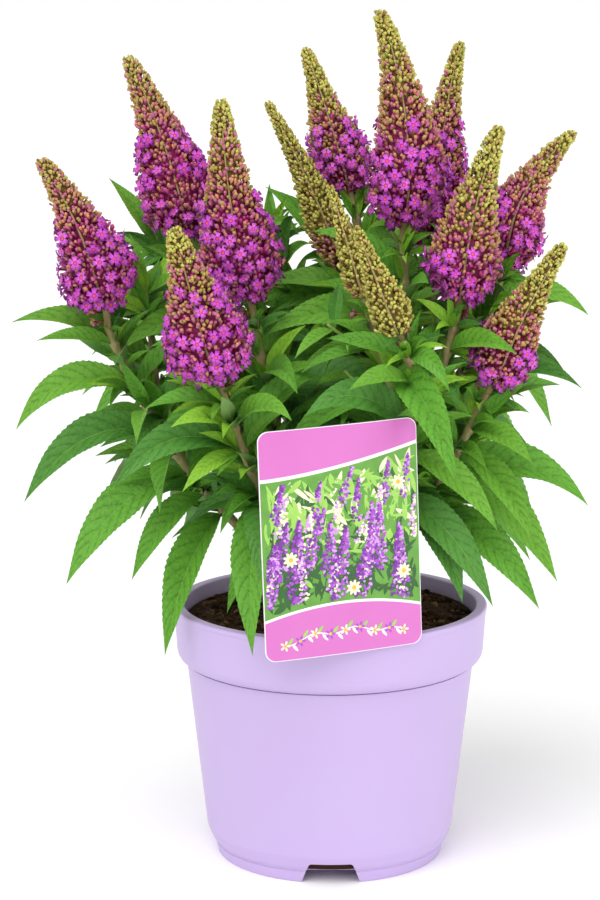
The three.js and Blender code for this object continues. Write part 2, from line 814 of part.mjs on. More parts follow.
// Grows every mass at once, a leaf of each in turn. A leaf or twig stays clear of the other masses, and
// past its root also of its own.
function growMasses(plans, obstacles) {
  const boxed = (solid, owner) => ({ solid, owner, box: solid.boundingBox() });
  const taken = obstacles.map((solid) => boxed(solid, null));
  const isFree = (whole, pastRoot, owner) => {
    const [all, outer] = [boxed(whole), boxed(pastRoot)];
    return taken.every((other) => {
      const mine = other.owner === owner ? outer : all;
      return !boxesMeet(mine.box, other.box) || mine.solid.intersect(other.solid).isEmpty();
    });
  };
  const grow = (plan, piece) => {
    plan.grown.push(piece);
    taken.push(boxed(piece, plan.name));
  };
  const growLeaf = (plan, leaf, sizes, rootShare) => {
    const size = sizes.find((share) => {
      const length = leaf.length * share;
      const pastRoot = makeLeaf(leaf, length, 0, rootShare);
      return isFree(makeLeaf(leaf, length, LEAF.clearance), pastRoot, plan.name);
    });
    if (!size) return false;
    grow(plan, makeLeaf(leaf, leaf.length * size));
    return true;
  };
  const growFurthest = (plan, tip) => {
    const reaches = (leaf) => {
      const aimed = aimedLeaf(leaf, tip);
      return aimed.length < LEAF.longest && growLeaf(plan, aimed, [1], LEAF.aimedRootShare);
    };
    const found = leavesTowards(tip, plan.places).find(reaches);
    if (found) found.aimed = true;
  };
  const growTwig = (plan, { curve, leaves }) => {
    const { footRadius, tipRadius, rings, sides } = TWIG;
    const twig = (from, more) => limb(curve, from, 1, footRadius + more, tipRadius + more, rings, sides);
    if (!isFree(twig(0, LEAF.clearance), twig(0.3, 0), plan.name)) return;
    grow(plan, twig(0, 0));
    leaves.forEach((leaf) => growLeaf(plan, leaf, LEAF.shrink, LEAF.rootShare));
  };

  for (const plan of plans) taken.push(...plan.frame.map((solid) => boxed(solid, plan.name)));
  for (const plan of plans) plan.tips.forEach((tip) => growFurthest(plan, tip));
  const mostPlaces = Math.max(...plans.map((plan) => plan.places.length));
  for (let i = 0; i < mostPlaces; i++)
    for (const plan of plans) {
      const place = plan.places[i];
      if (!place) continue;
      if (!place.aimed) growLeaf(plan, place, LEAF.shrink, LEAF.rootShare);
      if (place.twig) growTwig(plan, place.twig);
    }
}

// ---------- assembly ----------

const plant = new THREE.Group();
const pot = makePot();
const soil = makeSoil();
const label = makeLabel();
const crown = makeCrown();
plant.add(meshFromSolid("pot", pot, COLOURS.pot, 0.45));
plant.add(meshFromSolid("compost", soil, COLOURS.soil, 0.95));
plant.add(meshFromSolid("plant_label", label, COLOURS.label, 0.35));
plant.add(meshFromSolid("crown", crown, COLOURS.bark));

const curves = STEMS.map(stemCurve);
const boughs = curves.map(makeBough);
STEMS.forEach((stem, i) => plant.add(meshFromSolid(`stem_${stem.name}`, boughs[i], COLOURS.bark)));

const plans = STEMS.map((stem, i) => planMass(stem, curves[i], i));
growMasses(plans, [pot, soil, label, crown, ...boughs]);
for (const plan of plans) {
  plant.add(meshFromSolid(`foliage_${plan.name}`, joined(plan.frame, plan.grown), COLOURS.leaf));
}

export default plant;
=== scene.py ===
"""A butterfly bush in flower, in its lilac pot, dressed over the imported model.

The leaves, twigs and flower heads grow again by the part's own rule, in millimetres, and a leaf is kept
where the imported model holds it. Every mesh is worked out as whole numpy arrays and placed in metres.
"""
import math

import bpy
import numpy as np
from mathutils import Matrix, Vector
from mathutils.kdtree import KDTree


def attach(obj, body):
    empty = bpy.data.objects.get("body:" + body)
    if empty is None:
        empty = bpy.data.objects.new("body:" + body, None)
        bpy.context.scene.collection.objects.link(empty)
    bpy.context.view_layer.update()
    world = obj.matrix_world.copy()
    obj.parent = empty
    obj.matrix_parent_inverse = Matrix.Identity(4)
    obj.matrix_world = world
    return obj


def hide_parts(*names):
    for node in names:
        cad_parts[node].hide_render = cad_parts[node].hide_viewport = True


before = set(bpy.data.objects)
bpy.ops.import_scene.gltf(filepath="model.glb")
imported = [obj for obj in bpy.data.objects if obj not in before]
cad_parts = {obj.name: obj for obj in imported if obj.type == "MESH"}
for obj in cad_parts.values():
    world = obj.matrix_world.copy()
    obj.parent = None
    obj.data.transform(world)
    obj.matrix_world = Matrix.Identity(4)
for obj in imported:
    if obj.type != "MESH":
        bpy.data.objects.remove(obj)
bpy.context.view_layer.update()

# ---------- driving dimensions, in millimetres ----------

MM = 0.001
FULL_TURN = 2 * math.pi
QUARTER_TURN = math.pi / 2
GAP = 0.3  # clearance between the solids of the part
UP = np.array([0.0, 0.0, 1.0])
EAST = np.array([1.0, 0.0, 0.0])
NEAR_AXIS = 0.9  # a direction whose share along an axis is past this counts as lying along it
CHORDS = 200  # straight steps that measure a curve

CAMERA = {"place": (-18.2, -1500.0, 524.0), "pitch": -10.43, "focal": 2542.0, "frame_height": 900.0,
          "sensor": 36.0}

POT = {
    "height": 155.0, "rim": 95.0, "rim_width": 6.5, "band_foot": 93.0, "band_depth": 34.6, "band_edge": 9.5,
    "body_top": 87.0, "body_foot": 75.0, "heel": 17.0, "foot": 68.5, "foot_height": 7.0, "foot_width": 4.0,
    "wall": 2.0, "pad": 36.0, "floor_lift": 5.5, "floor": 2.0, "segments": 160, "crisp": 35,
    "lip": (0.5, 3.4, 2.6),  # its step out, and how far below the rim the step begins and ends
}
NOTCH = {"count": 3, "top": 25.5, "foot": 35.5, "height": 13.2, "depth": 14.0, "corner": 2.2, "inset": 8.0}
SOIL = {"level": 149.0, "edge": 146.5}
# The crown's dome, the knob under each stem (height, width squared) and its lumps (height, size).
CROWN = {"foot_radius": 21.0, "height": 9.0, "sunk": 1.5, "dome": 10.0, "rows": 26, "columns": 96,
         "knob": (2.6, 14.0), "lumps": (0.5, 7.0)}
LABEL = {
    "width": 95.0, "height": 132.0, "thickness": 0.9, "corner": 6.0, "bend": 620.0,
    "place": (8.0, -101.0, 149.0), "yaw": 20.0, "roll": 2.2, "tongue_width": 20.0, "reach": 19.0,
    "drop": 24.0, "lean": 5.0,
    "room": (6.0, 8.0, 8.0),  # kept free of young leaves beside, above and behind it
}
BOUGH = {
    "foot_radius": 3.1, "tip_radius": 2.8, "share": 0.3, "overlap": 0.01, "ring": 1.2, "sides": 18,
    "taper": 0.7, "flare": 0.55, "flare_length": 5.0, "sunk": 3.0, "bark_radius": 3.0,
    "bark_stretch": 0.25, "ridge": 0.05, "ridge_size": 2.6, "swell_size": 9.0,
}
SHOOT = {
    "tip_radius": 2.2, "fork_tip_radius": 1.9, "soft_tip_radius": 1.0, "fork_bare": 0.15, "fork_turn": 45,
    "leafy_scale": 0.62, "overlap": 0.012, "ring": 1.6, "sides": 14, "node_swell": 0.3, "node_width": 2.0,
    "ripening_from": 0.7, "green_from": 0.75,
}
MASS_GAP = GAP + 0.1  # between a bough and its mass
CURVE_PULL = 0.38
BLOSSOM_PROFILE = (
    (0, 0.42), (0.06, 0.76), (0.13, 0.93), (0.22, 0.97), (0.3, 0.91), (0.4, 0.79), (0.5, 0.66), (0.6, 0.54),
    (0.7, 0.43), (0.8, 0.35), (0.9, 0.27), (0.96, 0.21), (1, 0.12))

# The part's leaves. A scatter is (least, more): least + more times a draw.
LEAF = {
    "spacing": 16.0,
    "pairs_from": 0.03,
    "pairs_over": 0.95,
    "length": ((0, 74), (0.35, 90), (0.65, 80), (0.88, 62), (1, 46)),
    "angle": ((0, 80), (0.6, 64), (1, 44)),
    "droop": ((0, 2.1), (0.5, 1.2), (1, 0.5)),
    "droop_power": 1.3,
    "turn_scatter": 30.0,
    "angle_scatter": 16.0,
    "length_scatter": (0.9, 0.2),
    "droop_scatter": (0.85, 0.3),
    "width_share": 0.28,
    "thickness_share": 0.0115,
    "stations": ((4, 1.0), (8, 0.76)),  # steps of the middle line, share of the widest half-width
    "small_stations": ((5, 1.0),),
    "shrink": (1.0, 0.8, 0.62),
    "root_depth": 0.5,
    "light": (-0.15, -0.8, 0.6),
    "light_turn": 6.0,
    "aimed_droop": 1.4,
    "most_droop": 2.0,
    "longest": 108.0,
    "long": 40.0,  # a leaf past this is one of a shoot's own, not of a twig
    "aim_tries": 8,
    "aim_turn": 25.0,
    "aim_rounds": 20,
    "aim_pull": 0.6,
    "aim_chord": 0.95,
    "line_steps": 12,
}
TWIG = {
    "every": 2, "length": 34.0, "leaf_length": ((0, 33.0), (1, 33.0)), "foot_radius": 1.3, "tip_radius": 0.9,
    "rise": (0.9, 0.3), "middle": (0.22, 0.48), "end": (0.62, 0.75), "leaves_from": 0.35, "turn": 45,
    "rings": 12, "sides": 8,
}
FEET = {"inner": 4.4, "outer": 12.0}
FOUND_WITHIN = 0.05  # a corner of the rule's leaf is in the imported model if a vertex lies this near
CORNERS_FOUND = {"aimed": 4, "free": 3}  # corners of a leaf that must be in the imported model
# Seeds. A pair is (first, step): the part's rule takes a step for each mass, the heads one for each mass and
# one more for each shoot.
RULE_SEED = (101, 17)
HEAD_SEED = (700, 10)
LEAF_SEED = 2024
PRINT_SEED = 5
PEAT_SEED = 41

# Each stem: its foot as degrees round the crown and ring, its first lift, the turn of its leaf pairs, its
# shoots and its furthest leaf tips. A later shoot forks off at from. A shoot with a radius carries a flower
# head on the line from end to tip, bowed by bow to +X, thinner by slim and bare below lift. Open is the
# share of that head whose flowers are out, and ripe how far above them the plum buds go on.
STEMS = (
    {"name": "left", "foot": (187, "outer"), "lift": 44, "turn": 20,
     "shoots": [
         {"end": (-131, -18, 324), "tip": (-168, -30, 424), "radius": 23, "bow": 8, "open": 0.54, "ripe": 0.2,
          "lift": 0.15},
         {"end": (-110, 4, 350), "tip": (-112, -2, 390), "from": 0.35}],
     "tips": [(-100, -60, 137), (-155, -42, 174), (-179, -32, 221), (-188, -25, 266), (-187, -20, 326),
              (-115, -40, 176)]},
    {"name": "left_back", "foot": (146, "outer"), "lift": 52, "turn": 65,
     "shoots": [
         {"end": (-84, 45, 363), "tip": (-124, 75, 479), "radius": 25, "bow": 4.5, "open": 0.52, "ripe": 0.2},
         {"end": (-72, 95, 326), "tip": (-97, 120, 409), "radius": 18, "from": 0.25, "open": 0.5},
         {"end": (-106, 58, 372), "tip": (-117, 66, 404), "from": 0.55}],
     "tips": [(-135, 60, 407), (-95, 75, 160), (-118, 55, 192), (-150, 75, 250)]},
    {"name": "left_middle", "foot": (200, "inner"), "lift": 70, "turn": 10,
     "shoots": [
         {"end": (-45, -22, 332), "tip": (-64, -10, 457), "radius": 24, "bow": -3.5, "open": 0.47,
          "ripe": 0.13},
         {"end": (-42, 78, 322), "tip": (-56, 112, 398), "radius": 17, "from": 0.15, "open": 0.5}],
     "tips": [(-62, 128, 236)]},
    {"name": "front_left", "foot": (236, "outer"), "lift": 56, "turn": 35,
     "shoots": [{"end": (-63, -72, 297), "tip": (-89, -82, 389), "radius": 25, "open": 0.6}],
     "tips": [(-125, -90, 243), (-53, -110, 150), (-44, -118, 194), (-21, -115, 286)]},
    {"name": "back", "foot": (98, "outer"), "lift": 68, "turn": 50,
     "shoots": [
         {"end": (14, 72, 389), "tip": (-15, 95, 484), "radius": 19, "bow": 1, "open": 0.4},
         {"end": (10, 24, 349), "tip": (-38, 30, 454), "radius": 16.5, "bow": 3, "from": 0.34, "open": -0.02,
          "slim": 0.86},
         {"end": (-36, 66, 368), "tip": (-37, 76, 410), "from": 0.35}],
     "tips": [(-17, 75, 408), (-38, 80, 402), (8, 108, 166), (42, 100, 188)]},
    {"name": "centre", "foot": (80, "inner"), "lift": 82, "turn": 15,
     "shoots": [
         {"end": (42, -8, 375), "tip": (28, 0, 508), "radius": 24, "bow": 8.5, "open": 0.45, "ripe": 0.08}],
     "tips": [(65, -30, 372)]},
    {"name": "back_right", "foot": (52, "outer"), "lift": 60, "turn": 75,
     "shoots": [
         {"end": (66, 52, 360), "tip": (80, 75, 488), "radius": 20, "bow": -5, "open": 0.55},
         {"end": (50, 102, 350), "tip": (52, 134, 440), "radius": 19, "from": 0.2, "open": 0.5}],
     "tips": [(78, 96, 164), (96, 78, 196), (60, 148, 262)]},
    {"name": "right_middle", "foot": (320, "inner"), "lift": 66, "turn": 40,
     "shoots": [
         {"end": (73, -38, 336), "tip": (96, -35, 443), "radius": 22, "bow": -4, "open": 0.25, "ripe": 0.15}],
     "tips": [(78, -74, 172)]},
    {"name": "right", "foot": (8, "outer"), "lift": 50, "turn": 5,
     "shoots": [
         {"end": (105, 22, 354), "tip": (147, 45, 435), "radius": 21.5, "bow": -11, "open": 0.42,
          "ripe": 0.18},
         {"end": (98, 78, 318), "tip": (116, 108, 385), "radius": 16, "from": 0.2, "open": 0.5}],
     "tips": [(151, 0, 286), (152, 10, 325), (139, -26, 302), (143, 40, 338), (122, 45, 166), (128, 18, 190),
              (140, 78, 248)]},
    {"name": "front_right", "foot": (330, "outer"), "lift": 46, "turn": 25,
     "shoots": [
         {"end": (91, -45, 290), "tip": (132, -60, 378), "radius": 19, "bow": -4, "open": 0.28,
          "ripe": 0.12}],
     "tips": [(151, -40, 222), (116, -60, 162), (115, -70, 205), (127, -55, 177)]},
    {"name": "front", "foot": (285, "outer"), "lift": 66, "turn": 60,
     "shoots": [
         {"end": (40, -72, 323), "tip": (13, -85, 390), "radius": 14, "open": -0.2, "slim": 0.92},
         {"end": (20, -46, 340), "tip": (-1, -48, 410), "radius": 12, "from": 0.35, "open": -0.15,
          "slim": 0.84}],
     "tips": [(66, -120, 250), (91, -80, 170), (-18, -112, 290), (64, -105, 299)]},
)

# ---------- small tools ----------


def linear(hex_colour):
    """sRGB hex to linear RGBA: c / 12.92 below 0.04045, and ((c + 0.055) / 1.055) ** 2.4 above."""
    channels = np.array([(hex_colour >> shift & 255) / 255 for shift in (16, 8, 0)])
    low, high = channels / 12.92, ((channels + 0.055) / 1.055) ** 2.4
    return (*np.where(channels <= 0.04045, low, high), 1.0)


def unit(v):
    """Vectors divided by their length."""
    return v / np.linalg.norm(v, axis=-1, keepdims=True)


def dot(a, b):
    """Row-wise dot product, kept as a column."""
    return np.sum(a * b, axis=-1, keepdims=True)


def carried(v, a, b):
    """v turned by the least turn that takes direction a to b: v - (v.(a+b) / (1+a.b)) (a+b) + 2 (v.a) b."""
    both = a + b
    return v - dot(v, both) / (1 + dot(a, b)) * both + 2 * dot(v, a) * b


def read_profile(profile, place):
    """Straight-line reading of (place, value) pairs."""
    places, values = np.array(profile, float).T
    return np.interp(place, places, values)


def smooth(low, high, x):
    """0 below low, 1 above high, and 3 t t - 2 t t t between."""
    t = np.clip((x - low) / (high - low), 0, 1)
    return t * t * (3 - 2 * t)


def seeded_numbers(seed):
    """The part's row of numbers from 0 to 1: a counter in 32 bits, mixed by two products and shifts."""
    mask, stride = 0xFFFFFFFF, 0x6D2B79F5
    state = seed & mask

    def draw():
        """The next number."""
        nonlocal state
        state = (state + stride) & mask
        t = (state ^ state >> 15) * (1 | state) & mask
        t = (t + ((t ^ t >> 7) * (61 | t) & mask) & mask) ^ t
        return (t ^ t >> 14) / (mask + 1)

    return draw


def drawn(scatter, draw):
    """The least of a scatter plus more of it by the next draw."""
    least, more = scatter
    return least + more * draw()


class Curve:
    """A Bezier curve that is read by share of its length, which straight chords measure."""

    def __init__(self, *controls):
        self.controls = np.array(controls, float)
        self.steps = np.linspace(0, 1, CHORDS + 1)
        chords = np.linalg.norm(np.diff(self.at(self.steps), axis=0), axis=1)
        self.reach = np.concatenate([[0], np.cumsum(chords)])
        self.length = self.reach[-1]

    def at(self, t):
        """The control points, each weighted by its Bernstein polynomial of t."""
        t = np.asarray(t, float)[..., None]
        n = len(self.controls) - 1
        k = np.arange(n + 1)
        binomials = np.array([math.comb(n, i) for i in k])
        return (binomials * t**k * (1 - t) ** (n - k)) @ self.controls

    def parameter(self, share):
        """The t at which the chords add up to a share of the length."""
        return np.interp(np.asarray(share) * self.length, self.reach, self.steps)

    def point(self, share):
        """The point at a share of the length."""
        return self.at(self.parameter(share))

    def tangent(self, share, step=1e-4):
        """The direction there: from the point a small step before to the one a step after."""
        t = self.parameter(share)
        return unit(self.at(np.minimum(t + step, 1)) - self.at(np.maximum(t - step, 0)))


def across_stem(tangent):
    """Two directions across a stem: the first as near +X as it can be, the second a quarter turn on."""
    side = unit(EAST - tangent * tangent[..., :1])
    return side, np.cross(tangent, side)


# ---------- the part's growing rule ----------


def shoot_curve(foot, start, shoot):
    """From foot along start to the shoot's end, arriving in its tip's direction."""
    end = np.array(shoot["end"], float)
    along = unit(np.array(shoot["tip"], float) - end)
    pull = np.linalg.norm(end - foot) * CURVE_PULL
    return Curve(foot, foot + start * pull, end - along * pull, end)


def stem_curve(stem):
    """From the stem's foot on the crown, lifted by its angle towards its first shoot's end."""
    degrees, ring = stem["foot"]
    angle, lift = math.radians(degrees), math.radians(stem["lift"])
    out = np.array([math.cos(angle), math.sin(angle), 0])
    foot = out * FEET[ring] + UP * (SOIL["level"] + GAP + CROWN["height"] + GAP)
    aim = np.array(stem["shoots"][0]["end"], float) - foot
    aim[2] = 0
    start = unit(aim) * math.cos(lift) + UP * math.sin(lift)
    return shoot_curve(foot, start, stem["shoots"][0])


def leaf_places(curve, start, turn, draw, lengths, scale, stations):
    """Opposite pairs of leaves along a curve, each pair a quarter turn from the last."""
    count = max(2, math.floor(curve.length * (1 - start) / LEAF["spacing"] + 0.5))
    places = []
    for node in range(count):
        place = (node + 0.5) / count
        share = start + (1 - start) * (LEAF["pairs_from"] + LEAF["pairs_over"] * place)
        tangent = curve.tangent(share)
        side, back = across_stem(tangent)
        for half in (0, 1):
            round_stem = math.radians(turn + node * 90 + half * 180 + (draw() - 0.5) * LEAF["turn_scatter"])
            angle = math.radians(read_profile(LEAF["angle"], place) + (draw() - 0.5) * LEAF["angle_scatter"])
            out = side * math.cos(round_stem) + back * math.sin(round_stem)
            direction = tangent * math.cos(angle) + out * math.sin(angle)
            places.append({
                "root": curve.point(share) - direction * LEAF["root_depth"],
                "direction": direction,
                "across": np.cross(tangent, out),
                "length": read_profile(lengths, place) * scale * drawn(LEAF["length_scatter"], draw),
                "droop": read_profile(LEAF["droop"], place) * drawn(LEAF["droop_scatter"], draw),
                "stations": stations, "node": node, "half": half, "out": out, "tangent": tangent,
                "place": place, "share": share,
            })
    return places


def plan_twig(place, draw):
    """A short twig from the axil of a leaf, with small leaves of its own."""
    rise = drawn(TWIG["rise"], draw)
    root, tangent, out = place["root"], place["tangent"], place["out"]
    reach = TWIG["length"]
    middle, end = (
        root + tangent * (reach * up * rise) + out * (reach * aside)
        for up, aside in (TWIG["middle"], TWIG["end"]))
    curve = Curve(root, middle, end)
    leaves = leaf_places(
        curve, TWIG["leaves_from"], TWIG["turn"] * place["node"], draw, TWIG["leaf_length"], 1,
        LEAF["small_stations"])
    return {"curve": curve, "leaves": leaves}


def middle_line(leaf, length, steps):
    """Points and tangents of a leaf's middle line. It leaves along its direction, and falls by its droop
    times a power of how far it has come."""
    root, direction = leaf["root"], leaf["direction"]
    fall = leaf["droop"] * ((np.arange(steps) + 0.5) / steps) ** LEAF["droop_power"]
    ways = unit(direction - fall[:, None] * UP)
    points = np.vstack([root, root + np.cumsum(ways, axis=0) * length / steps])
    return points, np.vstack([direction, ways])


def blade_side(leaf):
    """The blade's side direction at its root, turned to where its upper face meets the light."""
    lit = np.cross(unit(np.array(LEAF["light"])), leaf["direction"])
    side = leaf["across"] + lit * LEAF["light_turn"]
    return unit(side - dot(side, leaf["direction"]) * leaf["direction"])


def corners(leaf, length):
    """The corners of the part's own leaf: two edges and the keel at each station, and the tip."""
    points, tangents = middle_line(leaf, length, LEAF["line_steps"])
    side = blade_side(leaf)
    found = [points[-1]]
    for step, width in leaf["stations"]:
        across = carried(side, leaf["direction"], tangents[step])
        up = np.cross(tangents[step], across)
        half = length * LEAF["width_share"] * width / 2
        keel = length * LEAF["thickness_share"]
        found += [points[step] + across * half, points[step] - across * half, points[step] - up * keel]
    return found


def aimed_leaf(leaf, tip):
    """The leaf turned and sized so that its tip comes to a given place: each round moves its direction and
    length by a share of the miss."""
    chord = tip - leaf["root"]
    length = np.linalg.norm(chord)
    direction = chord / length
    aimed = {**leaf, "direction": direction}
    aimed["droop"] = min(LEAF["aimed_droop"] * (1 - direction[2]), LEAF["most_droop"])
    for _ in range(LEAF["aim_rounds"]):
        miss = tip - middle_line(aimed, length, LEAF["line_steps"])[0][-1]
        reached = aimed["direction"] * length + miss * LEAF["aim_pull"]
        length = np.linalg.norm(reached)
        aimed["direction"] = reached / length
    return {**aimed, "length": length}


def leaves_towards(tip, places):
    """The leaves that could reach a tip, the best suited in place, direction and length first."""
    def misfit(leaf):
        """How far the leaf's length is from the chord, plus a price for each radian it has to turn."""
        way = tip - leaf["root"]
        span = np.linalg.norm(way)
        turn = math.acos(np.clip(way @ leaf["out"] / span, -1, 1))
        return abs(span - leaf["length"] * LEAF["aim_chord"]) + LEAF["aim_turn"] * turn

    free = [leaf for leaf in places if not leaf.get("aimed")]
    return sorted(free, key=misfit)[:LEAF["aim_tries"]]


def point_tree(points):
    """A tree that looks up the nearest of some points."""
    tree = KDTree(len(points))
    for i, point in enumerate(points):
        tree.insert(point, i)
    tree.balance()
    return tree


def packed_vertices(node):
    """The vertices (mm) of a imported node, as a tree."""
    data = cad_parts[node].data
    flat = np.empty(len(data.vertices) * 3, np.float32)
    data.vertices.foreach_get("co", flat)
    return point_tree(np.unique(np.round(flat.reshape(-1, 3).astype(float) / MM, 4), axis=0))


def plan_shoots(stem, draw):
    """The shoots of one mass with their places for leaves, and twigs in the axils of every other pair."""
    curve = stem_curve(stem)
    start = BOUGH["share"] + MASS_GAP / curve.length
    shoots = [{"curve": curve, "from": start, "scale": 1.0, "spec": stem["shoots"][0]}]
    for spec in stem["shoots"][1:]:
        at = start + (1 - start) * spec["from"]
        fork = curve.point(at)
        way = unit(curve.tangent(at) + unit(np.array(spec["end"], float) - fork))
        shoots.append({"curve": shoot_curve(fork, way, spec), "from": SHOOT["fork_bare"],
                       "scale": 1.0 if "radius" in spec else SHOOT["leafy_scale"], "spec": spec})
    for i, shoot in enumerate(shoots):
        shoot["places"] = leaf_places(
            shoot["curve"], shoot["from"], stem["turn"] + SHOOT["fork_turn"] * i, draw, LEAF["length"],
            shoot["scale"], LEAF["stations"])
    for shoot in shoots:
        for place in shoot["places"]:
            if place["node"] % TWIG["every"] == 1 and place["half"] == (place["node"] >> 1) % 2:
                place["twig"] = plan_twig(place, draw)
    return shoots


def grow_mass(stem, index):
    """The shoots, leaves, twigs and heads of one mass, by the part's rule and draws."""
    first, step = RULE_SEED
    shoots = plan_shoots(stem, seeded_numbers(first + index * step))
    places = [place for shoot in shoots for place in shoot["places"]]
    packed = packed_vertices("foliage_" + stem["name"])
    kept = []

    def keep(leaf, sizes, least):
        """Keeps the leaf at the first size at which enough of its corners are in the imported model."""
        for size in sizes:
            length = leaf["length"] * size
            if sum(packed.find(p)[2] < FOUND_WITHIN for p in corners(leaf, length)) >= least:
                kept.append({**leaf, "length": length, "side": blade_side(leaf)})
                return True
        return False

    for tip in stem["tips"]:
        tip = np.array(tip, float)
        for leaf in leaves_towards(tip, places):
            aimed = aimed_leaf(leaf, tip)
            if aimed["length"] < LEAF["longest"] and keep(aimed, (1.0,), CORNERS_FOUND["aimed"]):
                leaf["aimed"] = True
                break
    twigs = []
    for place in places:
        if not place.get("aimed"):
            keep(place, LEAF["shrink"], CORNERS_FOUND["free"])
        if "twig" in place:
            small = [leaf for leaf in place["twig"]["leaves"]
                     if keep(leaf, LEAF["shrink"], CORNERS_FOUND["free"])]
            if small:
                twigs.append(place["twig"]["curve"])
    return {"name": stem["name"], "curve": shoots[0]["curve"], "start": shoots[0]["from"], "shoots": shoots,
            "leaves": kept, "twigs": twigs}


# ---------- meshes from arrays ----------


class Surface:
    """Collects vertices (mm) and faces as arrays, then makes them one piece."""

    def __init__(self):
        self.points, self.corners, self.sizes, self.slots, self.uv = [], [], [], [], []
        self.count = 0

    def add(self, points, groups, uv=None):
        """points (n, 3); groups are (faces (f, k), slot or slots (f,)), all numbered from this call's 0."""
        points = np.asarray(points, float).reshape(-1, 3)
        for faces, slots in groups:
            faces = np.asarray(faces)
            self.corners.append((faces + self.count).ravel())
            self.sizes.append(np.full(len(faces), faces.shape[1]))
            self.slots.append(np.broadcast_to(slots, len(faces)))
        self.points.append(points)
        self.uv.append(np.zeros((len(points), 2)) if uv is None else np.asarray(uv).reshape(-1, 2))
        self.count += len(points)

    def piece(self, name, materials, slot, nodes=(), smooth=True, crisp=None):
        """Makes the mesh and its object at the origin, in metres, rides it on the body, and hides the nodes
        it stands for; slot is not used. Edges past crisp degrees stay sharp."""
        points, corners = np.concatenate(self.points) * MM, np.concatenate(self.corners)
        sizes = np.concatenate(self.sizes)
        mesh = bpy.data.meshes.new(name)
        mesh.vertices.add(len(points))
        mesh.vertices.foreach_set("co", points.astype(np.float32).ravel())
        mesh.loops.add(len(corners))
        mesh.loops.foreach_set("vertex_index", corners.astype(np.int32))
        mesh.polygons.add(len(sizes))
        mesh.polygons.foreach_set("loop_start", (np.cumsum(sizes) - sizes).astype(np.int32))
        mesh.polygons.foreach_set("material_index", np.concatenate(self.slots).astype(np.int32))
        mesh.polygons.foreach_set("use_smooth", np.full(len(sizes), smooth))
        layer = mesh.uv_layers.new(name="UVMap")
        layer.data.foreach_set("uv", np.concatenate(self.uv)[corners].astype(np.float32).ravel())
        for material in materials:
            mesh.materials.append(material)
        mesh.update(calc_edges=True)
        if crisp:
            mesh.set_sharp_from_angle(angle=math.radians(crisp))
        made = bpy.data.objects.new(name, mesh)
        bpy.context.scene.collection.objects.link(made)
        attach(made, "root")
        if nodes:
            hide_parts(*nodes)
        return made


def grid_faces(rows, columns, closed=False):
    """Quads of a grid of rows by columns of vertices, row after row. Where it is closed, its last column
    joins its first."""
    r = np.arange(rows - 1)[:, None] * columns
    c = np.arange(columns if closed else columns - 1)[None, :]
    nxt = (c + 1) % columns
    return np.stack([r + c, r + nxt, r + columns + nxt, r + columns + c], axis=-1).reshape(-1, 4)


def fan_faces(pole, ring, turned=False):
    """Triangles from a pole to each step of a closed ring of vertices."""
    ring = np.asarray(ring)
    nxt = np.roll(ring, -1)
    sides = (nxt, ring) if turned else (ring, nxt)
    return np.stack([np.full(len(ring), pole), *sides], axis=-1)


def prism_faces(count):
    """The sides of a prism: its near outline is vertices 0 to count, its far one the next count."""
    near = np.arange(count)
    nxt = np.roll(near, -1)
    return np.stack([near, nxt, nxt + count, near + count], axis=-1)


def many(faces, per_copy, copies):
    """The same faces for many copies of a shape with per_copy vertices each."""
    return (faces[None] + np.arange(copies)[:, None, None] * per_copy).reshape(-1, faces.shape[1])


def ring_angles(count):
    """Even steps round a full turn."""
    return np.arange(count) / count * FULL_TURN


def tube(surface, points, radii, sides, slots, round_by=None):
    """A closed tube. Each ring is a point plus radius (cos a X + sin a Y), with X carried from ring to ring
    by the least turn."""
    rings = len(points)
    tangent = unit(np.gradient(points, axis=0))
    upright = abs(tangent[0][0]) < NEAR_AXIS
    x = across_stem(tangent[0])[0] if upright else unit(np.cross(UP, tangent[0]))
    x = carried(x[None], tangent[:1], tangent)
    y = np.cross(tangent, x)
    angle = ring_angles(sides)
    radii = np.asarray(radii, float)
    radii = np.broadcast_to(radii[:, None] if radii.ndim == 1 else radii, (rings, sides))
    if round_by is not None:
        radii = radii * round_by(angle)
    aside = x[:, None] * np.cos(angle)[:, None] + y[:, None] * np.sin(angle)[:, None]
    skin = points[:, None] + aside * radii[..., None]
    along = np.repeat(np.broadcast_to(slots, rings - 1), sides)
    first, ring = rings * sides, np.arange(sides)
    surface.add(np.vstack([skin.reshape(-1, 3), points[0], points[-1]]), [
        (grid_faces(rings, sides, closed=True), along),
        (fan_faces(first, ring, turned=True), along[0]),
        (fan_faces(first + 1, ring + (rings - 1) * sides), along[-1]),
    ])


def lathe(surface, profile, segments, slots=0, lift=None):
    """A profile of (radius, z), from the axis back to the axis, turned about +Z."""
    profile = np.asarray(profile, float)
    inner = profile[1:-1]
    angle = ring_angles(segments)
    ring = np.stack([np.cos(angle), np.sin(angle)], axis=-1)
    verts = np.concatenate([
        inner[:, None, :1] * ring, np.broadcast_to(inner[:, None, 1:], (len(inner), segments, 1))], axis=-1)
    if lift is not None:
        verts[..., 2] += lift(verts)
    verts = np.vstack([verts.reshape(-1, 3), [0, 0, profile[0, 1]], [0, 0, profile[-1, 1]]])
    low, side = len(verts) - 2, np.arange(segments)
    surface.add(verts, [
        (grid_faces(len(inner), segments, closed=True), slots),
        (fan_faces(low, side, turned=True), slots),
        (fan_faces(low + 1, side + (len(inner) - 1) * segments), slots),
    ])


